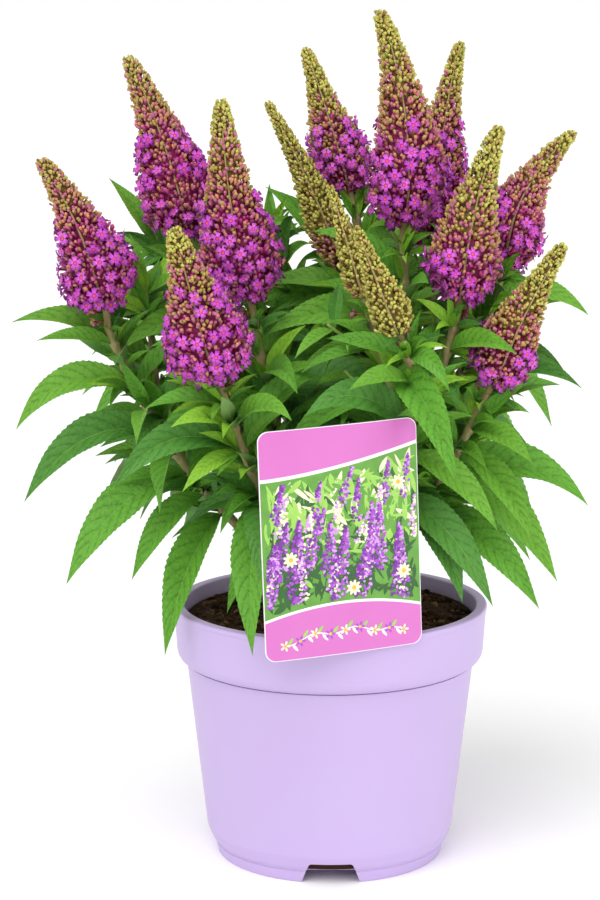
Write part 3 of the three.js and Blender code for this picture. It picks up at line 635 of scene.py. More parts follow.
def rounded(points, steps=5):
    """A line of (x, y, radius) corners, each turned into an arc of its radius that touches both sides."""
    made = [points[0][:2]]
    for before, here, after in zip(points, points[1:], points[2:]):
        corner, radius = np.array(here[:2], float), here[2]
        if not radius:
            made.append(here[:2])
            continue
        a, b = unit(np.array(before[:2]) - corner), unit(np.array(after[:2]) - corner)
        half = math.acos(np.clip(a @ b, -1, 1)) / 2
        centre = corner + unit(a + b) * radius / math.sin(half)
        start = corner + a * radius / math.tan(half) - centre
        stop = corner + b * radius / math.tan(half) - centre
        turn = math.atan2(start[0] * stop[1] - start[1] * stop[0], start @ stop)
        for angle in np.linspace(0, turn, steps + 1):
            c, s = math.cos(angle), math.sin(angle)
            made.append((centre[0] + start[0] * c - start[1] * s, centre[1] + start[0] * s + start[1] * c))
    return np.array(made + [points[-1][:2]], float)


def ripple(points, size, seed, waves=14, lengths=(0.6, 1.6)):
    """A gentle noise about 0: the sum of sine waves in seeded directions, over the root of their number.
    Their lengths are size times lengths."""
    rng = np.random.default_rng(seed)
    ways = unit(rng.normal(size=(waves, 3))) * FULL_TURN / (size * rng.uniform(*lengths, (waves, 1)))
    phases = rng.uniform(0, FULL_TURN, waves)
    return np.sin(points @ ways.T + phases).sum(axis=-1) / math.sqrt(waves)


def frames_along(direction, roll):
    """Three axes for each direction: two across it, turned by roll, and the direction itself."""
    helper = np.where(np.abs(direction[:, 2:]) < NEAR_AXIS, UP, EAST)
    x = unit(np.cross(helper, direction))
    y = np.cross(direction, x)
    c, s = np.cos(roll)[:, None], np.sin(roll)[:, None]
    return np.stack([x * c + y * s, y * c - x * s, direction], axis=1)


# ---------- materials ----------


def add(tree, kind, inputs=None, **settings):
    """Adds one node. settings are its own properties; inputs are values, outputs or nodes to link from."""
    made = tree.nodes.new(kind)
    for key, value in settings.items():
        setattr(made, key, value)
    for key, value in (inputs or {}).items():
        if isinstance(value, bpy.types.Node):
            value = value.outputs[0]
        if isinstance(value, bpy.types.NodeSocket):
            tree.links.new(value, made.inputs[key])
        else:
            made.inputs[key].default_value = value
    return made


def new_material(name, **constants):
    """An empty material with its shader, whose even values are set on the shader's own sockets."""
    made = bpy.data.materials.new(name)
    made.use_nodes = True
    tree = made.node_tree
    tree.nodes.clear()
    shader = add(tree, "ShaderNodeBsdfPrincipled", constants)
    add(tree, "ShaderNodeOutputMaterial", {"Surface": shader})
    return made, tree, shader


def finish(tree, shader, tone, low, high, relief, relief_mm):
    """Base colour from low to high by tone, and a surface raised by relief_mm where relief is 1."""
    mix = add(tree, "ShaderNodeMix", {0: tone, 6: linear(low), 7: linear(high)}, data_type="RGBA")
    tree.links.new(mix.outputs[2], shader.inputs["Base Color"])
    if relief_mm:
        bump = add(tree, "ShaderNodeBump", {"Height": relief, "Distance": relief_mm * MM})
        tree.links.new(bump.outputs[0], shader.inputs["Normal"])


GRAIN = 3.0  # octaves in a noise that has grain

# Side veins per blade, one every 8 mm, how far they run to the tip and how they arch, and how sharp and deep
# the furrows over them are. The net between them is drawn about twice as coarse as real, so that it shows.
# The colour darkens with the same relief: painted shade in the furrows and in the net's hollows.
VEINS = {
    "pairs": 11.0, "lean": 1.9, "arch": 1.25, "sharpness": 0.24, "pillow": 0.4, "net": 0.7, "net_mm": 1.9,
    "patch": 0.4, "patch_mm": 26.0, "darkest": -0.57, "furrow_shade": 1.75, "relief_mm": 0.65, "specular": 0.26,
}


def leaf_blade(name, low, high, roughness):
    """A leaf blade: matt wax over pillows between arching side veins, its colour darker where the relief is
    low, as painted shade in the furrows and the net's hollows. How far a vein has come along the blade is its
    place less lean times its distance from the midrib to the power arch; a pillow is the size of the sine of
    that to the power sharpness."""
    made, tree, shader = new_material(
        name, **{"Roughness": roughness, "Specular IOR Level": VEINS["specular"]})
    uv = add(tree, "ShaderNodeUVMap", uv_map="UVMap")
    part = add(tree, "ShaderNodeSeparateXYZ", {0: uv})
    lean, pillow = part.outputs[1], part.outputs[0]
    for operation, value in (("FRACT", 0), ("SUBTRACT", 0.5), ("ABSOLUTE", 0), ("MULTIPLY", 2.0),
                             ("POWER", VEINS["arch"]), ("MULTIPLY", VEINS["lean"])):
        lean = add(tree, "ShaderNodeMath", {0: lean, 1: value}, operation=operation)
    for operation, value in (("MULTIPLY", VEINS["pairs"]), ("SUBTRACT", lean), ("MULTIPLY", math.pi),
                             ("SINE", 0), ("ABSOLUTE", 0), ("POWER", VEINS["sharpness"]),
                             ("MULTIPLY", VEINS["pillow"])):
        pillow = add(tree, "ShaderNodeMath", {0: pillow, 1: value}, operation=operation)
    where = add(tree, "ShaderNodeTexCoord")
    net = add(tree, "ShaderNodeTexNoise", {
        "Vector": where.outputs["Object"], "Scale": 1 / (VEINS["net_mm"] * MM), "Detail": GRAIN})
    patches = add(tree, "ShaderNodeTexNoise", {
        "Vector": where.outputs["Object"], "Scale": 1 / (VEINS["patch_mm"] * MM)})
    relief = add(tree, "ShaderNodeMath", {0: net, 1: VEINS["net"], 2: pillow}, operation="MULTIPLY_ADD")
    shade = add(tree, "ShaderNodeMath", {0: patches, 1: VEINS["patch"], 2: VEINS["darkest"]},
                operation="MULTIPLY_ADD")
    # The tone follows the relief: painted shade in the furrows and in the net's hollows.
    tone = add(tree, "ShaderNodeMath", {0: relief, 1: VEINS["furrow_shade"], 2: shade}, operation="MULTIPLY_ADD")
    finish(tree, shader, tone, low, high, relief, VEINS["relief_mm"])
    return made


def mottled(name, low, high, patch_mm, relief_mm=0.0, stretch=1.0, **constants):
    """A surface that drifts from low to high in patches of patch_mm, longer upwards by stretch, with
    relief of the same grain."""
    made, tree, shader = new_material(name, **constants)
    where = add(tree, "ShaderNodeTexCoord")
    placed = add(tree, "ShaderNodeMapping", {"Vector": where.outputs["Object"], "Scale": (1, 1, 1 / stretch)})
    noise = add(tree, "ShaderNodeTexNoise", {"Vector": placed, "Scale": 1 / (patch_mm * MM), "Detail": GRAIN})
    finish(tree, shader, noise, low, high, noise, relief_mm)
    return made


# ---------- leaves ----------

# A blade's fold rises less towards its tip (rise_along), by a share that differs from leaf to leaf.
BLADE = {
    "rows": 56, "short_rows": 18, "young_rows": 10, "tooth": 0.06, "tooth_lean": 0.35, "toothed": (0.1, 0.97),
    "petiole": 0.055, "petiole_end": 0.3, "rise": 0.78, "rise_scatter": (0.6, 1.25), "rise_along": (1.3, 0.6),
    "recurve": 0.14, "wave": 0.04, "waves": 3.3, "wave_from": 0.12, "twist": 0.2, "sway": 0.035,
    "thickness": 0.0045, "rib": 0.008, "midrib": 0.016, "breadth": (0.76, 0.9), "crisp": 16, "keel_uv": 2.5,
}
UNDERSIDE, MIDRIB = 4, 5
# The columns at both sides of each strip, and its finish, where None is the leaf's own tone.
STRIPS = ((((0, 1), (1, 2), (3, 4), (4, 5)), None), (((2, 3),), MIDRIB), (((5, 6), (6, 0)), UNDERSIDE))
# A leaf's tone is base plus slope times its place on the shoot, give or take the scatter.
TONE = {"of_small": 0.75, "base": 0.35, "slope": 1.5, "scatter": 0.55}
# Tufts of young leaves: how many, how they lean (degrees) and how long they are, low and high on a shoot.
YOUNG = {
    "stand_off": 1.2, "per_axil": (5, 8), "lean": (16, 72), "low": (16, 52), "high": (12, 32),
    "high_from": 0.8, "bright_from": 0.45, "yaw": 38, "stagger": 0.4, "droop": (0.2, 1.1), "same_tone": 0.4,
    "breadth": (0.6, 0.82), "round_end": 6, "below_end": (0, 10), "apart": 2.2,
}
BRIGHT_TIP = {"count": 2, "reach": (18, 38), "spread": (8, 42), "tone": 3}
COLLAR = {"count": 1, "reach": (12, 24), "spread": (35, 75), "tone": 2}


def leaf_outline(u):
    """Half-width over the widest half-width: a sine of u^0.736 to the power 1.15, on a narrow stalk."""
    blade = np.sin(np.pi * np.clip((u - 0.05) / 0.95, 0, 1) ** 0.736)
    stalk = BLADE["petiole"] * (1 - smooth(0, BLADE["petiole_end"], u))
    return np.maximum(np.maximum(blade, 0) ** 1.15, stalk)


def blade_lines(leaves, u, rng):
    """The leaves' middle lines at u, swayed sideways by u squared, and the directions across and up there,
    which twist along the blade."""
    n = len(leaves)
    root, direction, side, length, droop = (
        np.array([leaf[key] for leaf in leaves], float)
        for key in ("root", "direction", "side", "length", "droop"))
    middle = (u[:-1] + u[1:]) / 2
    ways = unit(direction[:, None] - (droop[:, None] * middle ** LEAF["droop_power"])[..., None] * UP)
    steps = ways * np.diff(u)[:, None] * length[:, None, None]
    line = np.concatenate([root[:, None], root[:, None] + np.cumsum(steps, axis=1)], axis=1)
    before = np.concatenate([direction[:, None], ways], axis=1)
    after = np.concatenate([ways, ways[:, -1:]], axis=1)
    tangent = unit(before + after)
    across = carried(side[:, None], direction[:, None], tangent)
    up = np.cross(tangent, across)
    twist = rng.normal(0, BLADE["twist"], n)[:, None, None] * u[:, None]
    across, up = across * np.cos(twist) + up * np.sin(twist), up * np.cos(twist) - across * np.sin(twist)
    sway = rng.normal(0, BLADE["sway"], n)[:, None] * length[:, None] * u**2
    return line + across * sway[..., None], across, up, length


def grow_blades(surface, leaves, rows, rng, toothed):
    """Closed leaves, all at once. The top has five strips across, the narrow middle one the midrib, and the
    two halves rise from it by rise |v| - recurve v^2 of the half-width, with a wave along the edges. The
    underside has two strips, which meet at a keel."""
    n = len(leaves)
    if not n:
        return
    odd = np.arange(rows + 1) % 2
    u = (np.arange(rows + 1) + BLADE["tooth_lean"] * odd * toothed) / rows
    u[-1] = 1
    line, across, up, length = blade_lines(leaves, u, rng)
    tone = np.array([leaf["tone"] for leaf in leaves], int)
    breadth = np.array([leaf["breadth"] for leaf in leaves])
    first, last = BLADE["toothed"]
    teeth = 1 - BLADE["tooth"] * toothed * (1 - odd) * (u > first) * (u < last)
    half = (length * LEAF["width_share"] / 2 * breadth)[:, None] * leaf_outline(u) * teeth
    most, less = BLADE["rise_along"]
    rise = BLADE["rise"] * rng.uniform(*BLADE["rise_scatter"], n)[:, None] * (most - less * u)
    wave = BLADE["wave"] * np.sin(FULL_TURN * BLADE["waves"] * u + rng.uniform(0, FULL_TURN, n)[:, None])
    v = np.array([-1, -0.5, -BLADE["midrib"], BLADE["midrib"], 0.5, 1.0])
    edges = np.array([1, 0, 0, 0, 0, -1.0])
    waved = wave[..., None] * edges * (u[:, None] > BLADE["wave_from"])
    height = rise[..., None] * np.abs(v) - BLADE["recurve"] * v**2 + waved
    aside = across[:, :, None] * v[:, None] + up[:, :, None] * height[..., None]
    top = line[:, :, None] + aside * half[:, :, None, None]
    keel = line - up * (length[:, None] * (BLADE["thickness"] + BLADE["rib"] * (1 - u)))[..., None]
    columns = len(v) + 1
    grid = np.concatenate([top, keel[:, :, None]], axis=2)[:, :-1]
    verts = np.concatenate([grid.reshape(n, rows * columns, 3), line[:, -1:]], axis=1)

    r, end = np.arange(rows - 1)[:, None] * columns, (rows - 1) * columns
    tip = end + columns

    def quads(a, b):
        """A strip between the columns a and b, up to the last row."""
        return np.stack([r + a, r + a + columns, r + b + columns, r + b], axis=-1).reshape(-1, 4)

    def closing(a, b):
        """The strip's last triangle, from the last row to the tip."""
        return np.array([[end + a, tip, end + b]])

    groups = []
    for made in (quads, closing):
        for sides, slot in STRIPS:
            faces = np.concatenate([made(*pair) for pair in sides])
            groups.append((many(faces, tip + 1, n), np.repeat(tone, len(faces)) if slot is None else slot))
    groups.append((many(np.arange(columns)[None], tip + 1, n), UNDERSIDE))
    over = np.append(v / 2 + 0.5, BLADE["keel_uv"])
    grid_uv = np.stack(np.broadcast_arrays(u[:-1, None], over), axis=-1).reshape(-1, 2)
    surface.add(verts, groups, np.tile(np.vstack([grid_uv, [1, 0.5]]), (n, 1)))


def deal_tones(leaves, rng):
    """A tone for each leaf: darker low on the shoot, lighter towards its tip."""
    for leaf in leaves:
        share = leaf["place"] if leaf["length"] > LEAF["long"] else TONE["of_small"]
        grade = TONE["base"] + TONE["slope"] * share + rng.normal(0, TONE["scatter"])
        leaf["tone"] = int(np.clip(round(grade), 0, 2))
        leaf["breadth"] = rng.uniform(*BLADE["breadth"])
    return leaves


def tuft(root, tangent, out, rng, count, reach, spread, tone):
    """Young narrow leaves from one point, round the way between a stem's own direction and outwards."""
    made = []
    for i in range(count):
        lean = math.radians(rng.uniform(*spread))
        yaw = math.radians(rng.normal(0, YOUNG["yaw"])) + (i % 2) * YOUNG["stagger"]
        way = out * math.cos(yaw) + np.cross(tangent, out) * math.sin(yaw)
        direction = unit(tangent * math.cos(lean) + way * math.sin(lean))
        leaf = {"root": root, "direction": direction, "across": np.cross(tangent, way)}
        made.append({
            **leaf, "side": blade_side(leaf), "length": rng.uniform(*reach),
            "droop": rng.uniform(*YOUNG["droop"]),
            "tone": tone if rng.random() < YOUNG["same_tone"] else rng.integers(0, 3),
            "breadth": rng.uniform(*YOUNG["breadth"]),
        })
    return made


def young_growth(mass, rng):
    """Tufts in the axils, rings of small leaves below the heads, and bright tips on shoots without one."""
    made = []
    for shoot in mass["shoots"]:
        for place in shoot["places"]:
            root = shoot["curve"].point(place["share"]) + place["out"] * YOUNG["stand_off"]
            made += tuft(
                root, place["tangent"], place["out"], rng, count=rng.integers(*YOUNG["per_axil"]),
                reach=YOUNG["low"] if place["place"] < YOUNG["high_from"] else YOUNG["high"],
                spread=YOUNG["lean"], tone=3 if place["place"] > YOUNG["bright_from"] else 2)
        end, tangent = shoot["curve"].point(1.0), shoot["curve"].tangent(1.0)
        side, back = across_stem(tangent)
        kind = COLLAR if "radius" in shoot["spec"] else BRIGHT_TIP
        count = YOUNG["round_end"]
        for turn in np.arange(count) * math.radians(360 / count) + rng.uniform(0, 1):
            out = side * math.cos(turn) + back * math.sin(turn)
            made += tuft(end - tangent * rng.uniform(*YOUNG["below_end"]), tangent, out, rng, **kind)
    return made


def beside_heads(leaf):
    """Whether a leaf's blade stays out of the flower heads: no more than one point of its line is inside
    most of a head's radius."""
    line, _ = middle_line(leaf, leaf["length"], 10)
    for head in HEADS:
        share = (line - head.end) @ head.tangent / head.length
        off = np.linalg.norm(line - head.spine(share), axis=1)
        inside = off < HEAD["core"] * head.radius(np.clip(share, 0, 1))
        if ((share > 0) & (share < 1) & inside).sum() > 1:
            return False
    return True


def blade_tree(leaves, steps=32, places=9):
    """Points over the blades of some leaves, to look up the nearest: places across at each step."""
    outline = leaf_outline(np.linspace(0, 1, steps + 1))
    points = []
    for leaf in leaves:
        line, _ = middle_line(leaf, leaf["length"], steps)
        half = outline * leaf["length"] * LEAF["width_share"] / 2
        for v in np.linspace(-1, 1, places):
            points.append(line + leaf["side"] * (half * v)[:, None])
    return point_tree(np.concatenate(points))


def clear_of(leaves, least):
    """The leaves whose outer parts stay further than least from the blades that are there already, out of
    the heads, and behind the label."""
    kept = []
    for leaf in leaves:
        line, _ = middle_line(leaf, leaf["length"], 8)
        apart = min(BLADES_THERE.find(p)[2] for p in line[3:])
        if apart > least and beside_heads(leaf) and behind_label(line):
            kept.append(leaf)
    return kept


def behind_label(line):
    """Whether a line of points stays behind the label's plane wherever it is beside the label."""
    yaw, (aside, above, behind) = math.radians(LABEL["yaw"]), LABEL["room"]
    x, y = (line[:, 0] - LABEL["place"][0], line[:, 1] - LABEL["place"][1])
    across, depth = x * math.cos(yaw) + y * math.sin(yaw), y * math.cos(yaw) - x * math.sin(yaw)
    low = line[:, 2] < LABEL["place"][2] + LABEL["height"] + above
    return not np.any((np.abs(across) < LABEL["width"] / 2 + aside) & low & (depth < behind))


# ---------- stems ----------

BARK, GREENWOOD, GREEN = 0, 1, 2


def stem_radii(distance, low, high, nodes):
    """A taper from low to high, with a narrow ring of swelling at each pair of leaves."""
    radii = low + (high - low) * distance / distance[-1]
    bumps = np.exp(-((distance[:, None] - np.array(nodes)[None]) / SHOOT["node_width"]) ** 2).sum(axis=1)
    return radii * (1 + SHOOT["node_swell"] * bumps)


def squarish(angle):
    """Young shoots are four-sided: 1 + 0.07 cos 4a."""
    return 1 + 0.07 * np.cos(4 * angle)


def grow_bough(surface, mass):
    """A woody stem from the crown to where its mass begins. Its foot flares by an exponential of the
    distance, and its bark is ridged along it by one ripple and swells by another."""
    b, curve = BOUGH, mass["curve"]
    share = b["share"] + b["overlap"]
    at = np.linspace(0, share, int(curve.length * share / b["ring"]))
    distance = at * curve.length
    radii = b["foot_radius"] + (b["tip_radius"] - b["foot_radius"]) * (at / share) ** b["taper"]
    radii = radii * (1 + b["flare"] * np.exp(-distance / b["flare_length"]))
    points = curve.point(at)
    points[0] -= curve.tangent(0.0) * b["sunk"]
    angle = ring_angles(b["sides"])
    where = np.stack(np.broadcast_arrays(
        b["bark_radius"] * np.cos(angle)[None], b["bark_radius"] * np.sin(angle)[None],
        distance[:, None] * b["bark_stretch"]), axis=-1)
    ridges = 1 + b["ridge"] * ripple(where, b["ridge_size"], len(mass["name"]))
    ridges = ridges + b["ridge"] * ripple(where * (0.3, 0.3, 4), b["swell_size"], 5)
    tube(surface, points, radii[:, None] * ridges, b["sides"], BARK)


def grow_shoot(surface, mass, number, shoot):
    """A leafy shoot: woody, then tan and, where it carries no head, thin and green at its end."""
    curve, headed, s = shoot["curve"], "radius" in shoot["spec"], SHOOT
    start = mass["start"] - s["overlap"] if number == 0 else 0.0
    low = BOUGH["tip_radius"] if number == 0 else s["tip_radius"]
    high = s["tip_radius"] if number == 0 else s["fork_tip_radius"]
    at = np.linspace(start, 1, int(curve.length * (1 - start) / s["ring"]))
    nodes = [(place["share"] - start) * curve.length for place in shoot["places"] if place["half"] == 0]
    radii = stem_radii((at - start) * curve.length, low, high if headed else s["soft_tip_radius"], nodes)
    slots = np.where(at[:-1] < s["ripening_from"], BARK, GREENWOOD)
    if not headed:
        slots = np.where(at[:-1] < s["green_from"], slots, GREEN)
    tube(surface, curve.point(at), radii, s["sides"], slots, squarish)


def grow_twigs(surface, mass):
    """The mass's short green twigs: even tapers along their curves."""
    radii = np.linspace(TWIG["foot_radius"], TWIG["tip_radius"], TWIG["rings"])
    for curve in mass["twigs"]:
        tube(surface, curve.point(np.linspace(0, 1, TWIG["rings"])), radii, TWIG["sides"], GREEN)


def grow_crown(surface):
    """A low stump: a flat dome whose height falls as r^4, with a knob under the foot of every stem that
    fades as an exponential of the distance squared, and lumps."""
    foot = SOIL["level"] - CROWN["sunk"]
    rows, columns, knob, lumps = CROWN["rows"], CROWN["columns"], CROWN["knob"], CROWN["lumps"]
    r = np.linspace(1, 0.04, rows)[:, None] * CROWN["foot_radius"]
    angle = ring_angles(columns)
    x, y = r * np.cos(angle), r * np.sin(angle)
    z = foot + CROWN["dome"] * (1 - (r / CROWN["foot_radius"]) ** 4) * np.ones_like(angle)
    for mass in masses:
        at = mass["curve"].point(0.0)
        z = z + knob[0] * np.exp(-((x - at[0]) ** 2 + (y - at[1]) ** 2) / knob[1]) * (z > foot + 1)
    points = np.stack([x, y, z], axis=-1)
    points[1:] += lumps[0] * ripple(points[1:], lumps[1], 3)[..., None] * np.array([0.6, 0.6, 1])
    verts = np.vstack([points.reshape(-1, 3), [0, 0, foot], [0, 0, points[-1, :, 2].mean()]])
    ring = np.arange(columns)
    surface.add(verts, [
        (grid_faces(rows, columns, closed=True), BARK),
        (fan_faces(rows * columns, ring, turned=True), BARK),
        (fan_faces(rows * columns + 1, ring + (rows - 1) * columns), BARK),
    ])


# ---------- flower heads ----------

# The two core finishes colour a head's inner mass darker than its buds: painted shade in the gaps between
# them.
PLUM_DARK, PLUM, ROSE, PEACH, TAN, OLIVE, OLIVE_LIGHT, BROWN, PLUM_CORE_SHADE, OLIVE_CORE_SHADE, STALK = range(11)
# Each row: how far above the open flowers it holds, as a share of the head, and the finishes that the
# bodies and the tips of its buds are dealt from.
HEAD_BANDS = (
    (-0.2, (PLUM_DARK, PLUM, PLUM, PLUM), (PLUM, ROSE, PEACH, ROSE)),
    (-0.05, (PLUM_DARK, BROWN, BROWN, PLUM), (ROSE, ROSE, PEACH, TAN)),
    (0.09, (BROWN, BROWN, PLUM, BROWN), (ROSE, TAN, PEACH, TAN)),
    (0.23, (BROWN, OLIVE, BROWN, BROWN), (TAN, ROSE, OLIVE_LIGHT, TAN)),
    (9.0, (OLIVE, BROWN, OLIVE, OLIVE), (OLIVE_LIGHT, OLIVE, TAN, OLIVE_LIGHT)),
)
# lift: the bare share of a head's line, where its stalk still shows. core: the share of its radius that no
# leaf enters. The skin runs to the tip, the core not quite, in the plum finish to just above the flowers; the
# core's finishes are darker than the buds, as painted shade between them.
HEAD = {"lift": 0.09, "core": 0.85, "steps": 400, "core_end": 0.985, "core_depth": (1.1, 0.4),
        "plum_past": 0.12, "stalk": (0.02, 0.06)}
# Sizes are (length, width). A bud is at a share of the head's radius, and its rise in degrees grows with the
# head's share and near its tip.
BUD = {
    "long": (6.0, 2.45), "short": (3.9, 2.05), "short_from": 0.35, "spacing": (3.0, 2.15), "closer_from": 0.3,
    "full_radius": 25.0, "scale_power": 0.25, "spiral": 2.39996, "scatter": 0.9, "least_radius": 3.0,
    "knob": 0.11, "knobs_round": 7, "knob_rise": 9.0, "knobs_to": 0.8, "fan": (0.3, 0.25),
    "rise": (36, 20, 26), "upright_from": 0.93, "rise_scatter": 9.0, "nod": 0.13, "lean": 0.25,
    "outer": (0.92, 1.03), "inner": (0.74, 0.88), "inner_share": 0.4, "size": (0.82, 1.15),
    "longest": (0.8, 1.2), "band_scatter": 0.05,
}
# Down each quarter of a head runs a stalk that few buds cross.
SEAM = {"half_width": 1.5, "crossed": 0.6, "top": 0.85, "depth": 0.78, "radius": 0.8, "bare": (1.0, 8.0)}
# The loose clusters of buds on the stem, some mm below a head.
KNOT = {"below": (5.0, 11.0), "buds": 9, "stand_off": (4, 7), "rise": 0.3, "spread": 0.55, "size": (0.6, 0.9),
        "foot": 0.5, "stalk": 0.6}
FLORET = {
    "lobes": 5, "radius": 5.2, "spacing": 6.1, "tube": 7.0, "tube_radius": 0.75, "tries": 520,
    "past": (0.02, 0.03), "seat": (0.93, 1.05), "stand_off": 1.4, "patch": 16.0, "dense": 0.78, "fade": 0.62,
    "fade_from": 0.25, "patchy": 0.42, "on_seam": 0.3, "rise": (8, 22), "rise_scatter": 12, "nod": 0.25,
    "size": (0.82, 1.04),
}
# The finish of each part of a floret; its lobes take the floret's own tone.
FLORET_SLOTS = {"eye": 2, "throat": 3, "lobes": None, "behind": 4, "tube": 4, "foot": 4}


def drop_shape(sides, rings):
    """A closed drop from 0 to 1 along z: poles at both ends and rings of (z, radius)."""
    skin = [[r * math.cos(a), r * math.sin(a), z] for z, r in rings for a in ring_angles(sides)]
    verts = [[0, 0, 0]] + skin + [[0, 0, 1]]
    ring = np.arange(sides) + 1
    bands = grid_faces(len(rings), sides, closed=True) + 1
    low, high = fan_faces(0, ring, turned=True), fan_faces(len(verts) - 1, ring + (len(rings) - 1) * sides)
    return np.array(verts, float), bands, low, high


def place_drops(surface, shape, origin, direction, length, width, body, tip, rng):
    """Copies of a drop along their directions. The last band and the end have the tip's finish."""
    verts, bands, low, high = shape
    n, per, sides = len(origin), len(verts), len(low)
    axes = frames_along(direction, rng.uniform(0, FULL_TURN, n))
    axes = axes * np.stack([width, width, length], axis=-1)[..., None]
    placed = origin[:, None] + np.einsum("mk,nkc->nmc", verts, axes)
    surface.add(placed, [
        (many(low, per, n), np.repeat(body, sides)),
        (many(bands[:-sides], per, n), np.repeat(body, len(bands) - sides)),
        (many(bands[-sides:], per, n), np.repeat(tip, sides)),
        (many(high, per, n), np.repeat(tip, sides)),
    ])


class Head:
    """The line and outline of one flower head."""

    def __init__(self, spec):
        self.spec = spec
        self.foot = np.array(spec["end"], float)
        self.whole = np.array(spec["tip"], float) - self.foot
        self.lift = spec.get("lift", HEAD["lift"])
        self.end = self.foot + self.lift * self.whole
        self.axis = (1 - self.lift) * self.whole
        self.length = np.linalg.norm(self.axis)
        self.tangent = self.axis / self.length
        self.side, self.back = across_stem(self.tangent)
        self.scale = (spec["radius"] / BUD["full_radius"]) ** BUD["scale_power"]

    def spine(self, share):
        """The head's line: straight from its foot to its tip, plus a parabola of height bow to +X."""
        share = self.lift + (1 - self.lift) * np.asarray(share, float)[..., None]
        bow = 4 * self.spec.get("bow", 0) * share * (1 - share)
        return self.foot + self.whole * share + bow * EAST

    def radius(self, share):
        """The outline's reading at a share of the line."""
        return self.spec["radius"] * self.spec.get("slim", 1) * read_profile(BLOSSOM_PROFILE, share)

    def out(self, angle):
        """The direction outwards at an angle round the head."""
        angle = np.asarray(angle)[..., None]
        return self.side * np.cos(angle) + self.back * np.sin(angle)

    def from_seam(self, angle, share):
        """How far (mm) an angle round the head is from the nearest of its four seams."""
        return np.abs((angle + QUARTER_TURN / 2) % QUARTER_TURN - QUARTER_TURN / 2) * self.radius(share)


def bud_size(share, scale):
    """Length and width of a bud: long below, short and plump at the head's tip."""
    blend = smooth(BUD["short_from"], 1.0, share)[..., None]
    return (np.array(BUD["long"]) * (1 - blend) + np.array(BUD["short"]) * blend) * scale


def grow_head(buds, florets, spec, seed):
    """Buds on a spiral of equal turns, so close along the head that each has spacing squared of its skin;
    below them the stalk, the core, which is darker than the buds as painted shade between them, four ribs and
    two knots, and on them the open flowers."""
    rng = np.random.default_rng(seed)
    head, open_share = Head(spec), spec["open"]
    fine = np.linspace(0, 1, HEAD["steps"])
    wide, close = BUD["spacing"]
    spacing = (wide + (close - wide) * smooth(BUD["closer_from"], 1, fine)) * head.scale
    skin = np.cumsum(FULL_TURN * head.radius(fine) * head.length / HEAD["steps"] / spacing**2)
    count = int(skin[-1])
    for layer, total in (("outer", count), ("inner", int(count * BUD["inner_share"]))):
        share = np.interp((np.arange(total) + 0.5) / total * skin[-1], skin, fine)
        grow_layer(buds, head, share, layer, rng)

    low, high = HEAD["stalk"]
    stalk = np.linspace(-head.lift / (1 - head.lift) - low, high, 8)
    tube(buds, head.spine(stalk), SHOOT["tip_radius"], 12, STALK)
    along = np.linspace(0, SEAM["top"], 30)
    for turn in np.arange(4) * QUARTER_TURN:
        rib = head.spine(along) + head.out(turn) * (head.radius(along) * SEAM["depth"])[:, None]
        tube(buds, rib, SEAM["radius"] * (1 - 0.5 * along), 5, STALK)
    core = np.linspace(0.0, HEAD["core_end"], 40)
    deep, least = HEAD["core_depth"]
    depth = np.maximum(head.radius(core) - bud_size(core, head.scale)[:, 0] * deep, head.radius(core) * least)
    # The core is darker than the buds: painted shade in the gaps, plum below and olive above.
    slots = np.where(core[:-1] < open_share + HEAD["plum_past"], PLUM_CORE_SHADE, OLIVE_CORE_SHADE)
    tube(buds, head.spine(core), depth, 14, slots)
    for below in KNOT["below"]:
        place_knot(buds, head, -below / head.length, rng)
    if open_share > 0:
        place_florets(florets, head, open_share, rng)


def grow_layer(buds, head, share, layer, rng):
    """One layer of buds. Knobs in rows raise them by cos(k angle) cos(rise), and spread them from each knob's
    middle by the slope of that. Their finishes go by how far they are above the open flowers."""
    b, total = BUD, len(share)
    share = np.clip(share + rng.normal(0, b["scatter"], total) / head.length, 0, 1)
    radius = head.radius(share)
    turned = rng.normal(0, b["scatter"], total) / np.maximum(radius, b["least_radius"])
    angle = np.arange(total) * b["spiral"] + turned
    across, along = b["knobs_round"] * angle, FULL_TURN * share * head.length / b["knob_rise"] / head.scale
    knob = np.cos(across) * np.cos(along)
    base, more, upright = b["rise"]
    rise = base + more * share + upright * smooth(b["upright_from"], 1, share)
    rise = np.radians(rise + rng.normal(0, b["rise_scatter"], total))[:, None]
    out = head.out(angle)
    around = np.cross(head.tangent, out)
    fan = -b["fan"][0] * (np.sin(across) * np.cos(along))[:, None] * around
    fan = fan - b["fan"][1] * (np.cos(across) * np.sin(along))[:, None] * head.tangent
    spread = (1 - smooth(b["knobs_to"], 1, share))[:, None]
    nod = rng.normal(0, b["nod"], (total, 3))
    way = unit(out * np.cos(rise) + head.tangent * np.sin(rise) - fan * spread + nod)
    depth = rng.uniform(*b[layer], total) * (1 + b["knob"] * knob * spread[:, 0])
    outward = unit(out + head.tangent * b["lean"] * share[:, None])
    tips = head.spine(share) + outward * (radius * depth)[:, None]
    size = bud_size(share, head.scale) * rng.uniform(*b["size"], (total, 1))
    size[:, 0] = np.minimum(size[:, 0], b["longest"][0] * radius + b["longest"][1])
    drift = share - head.spec["open"] - head.spec.get("ripe", 0) + rng.normal(0, b["band_scatter"], total)
    seam = head.from_seam(angle, share)
    seen = (seam > SEAM["half_width"]) | (rng.random(total) < SEAM["crossed"]) | (share > SEAM["top"])
    band = np.searchsorted([limit for limit, *_ in HEAD_BANDS], drift)
    body = np.array([row[1] for row in HEAD_BANDS])[band, rng.integers(0, 4, total)]
    tip = np.array([row[2] for row in HEAD_BANDS])[band, rng.integers(0, 4, total)]
    if layer == "inner":
        tip = body
    roots = tips - way * size[:, :1]
    place_drops(
        buds, BUD_SHAPE, roots[seen], way[seen], size[seen, 0], size[seen, 1], body[seen], tip[seen], rng)


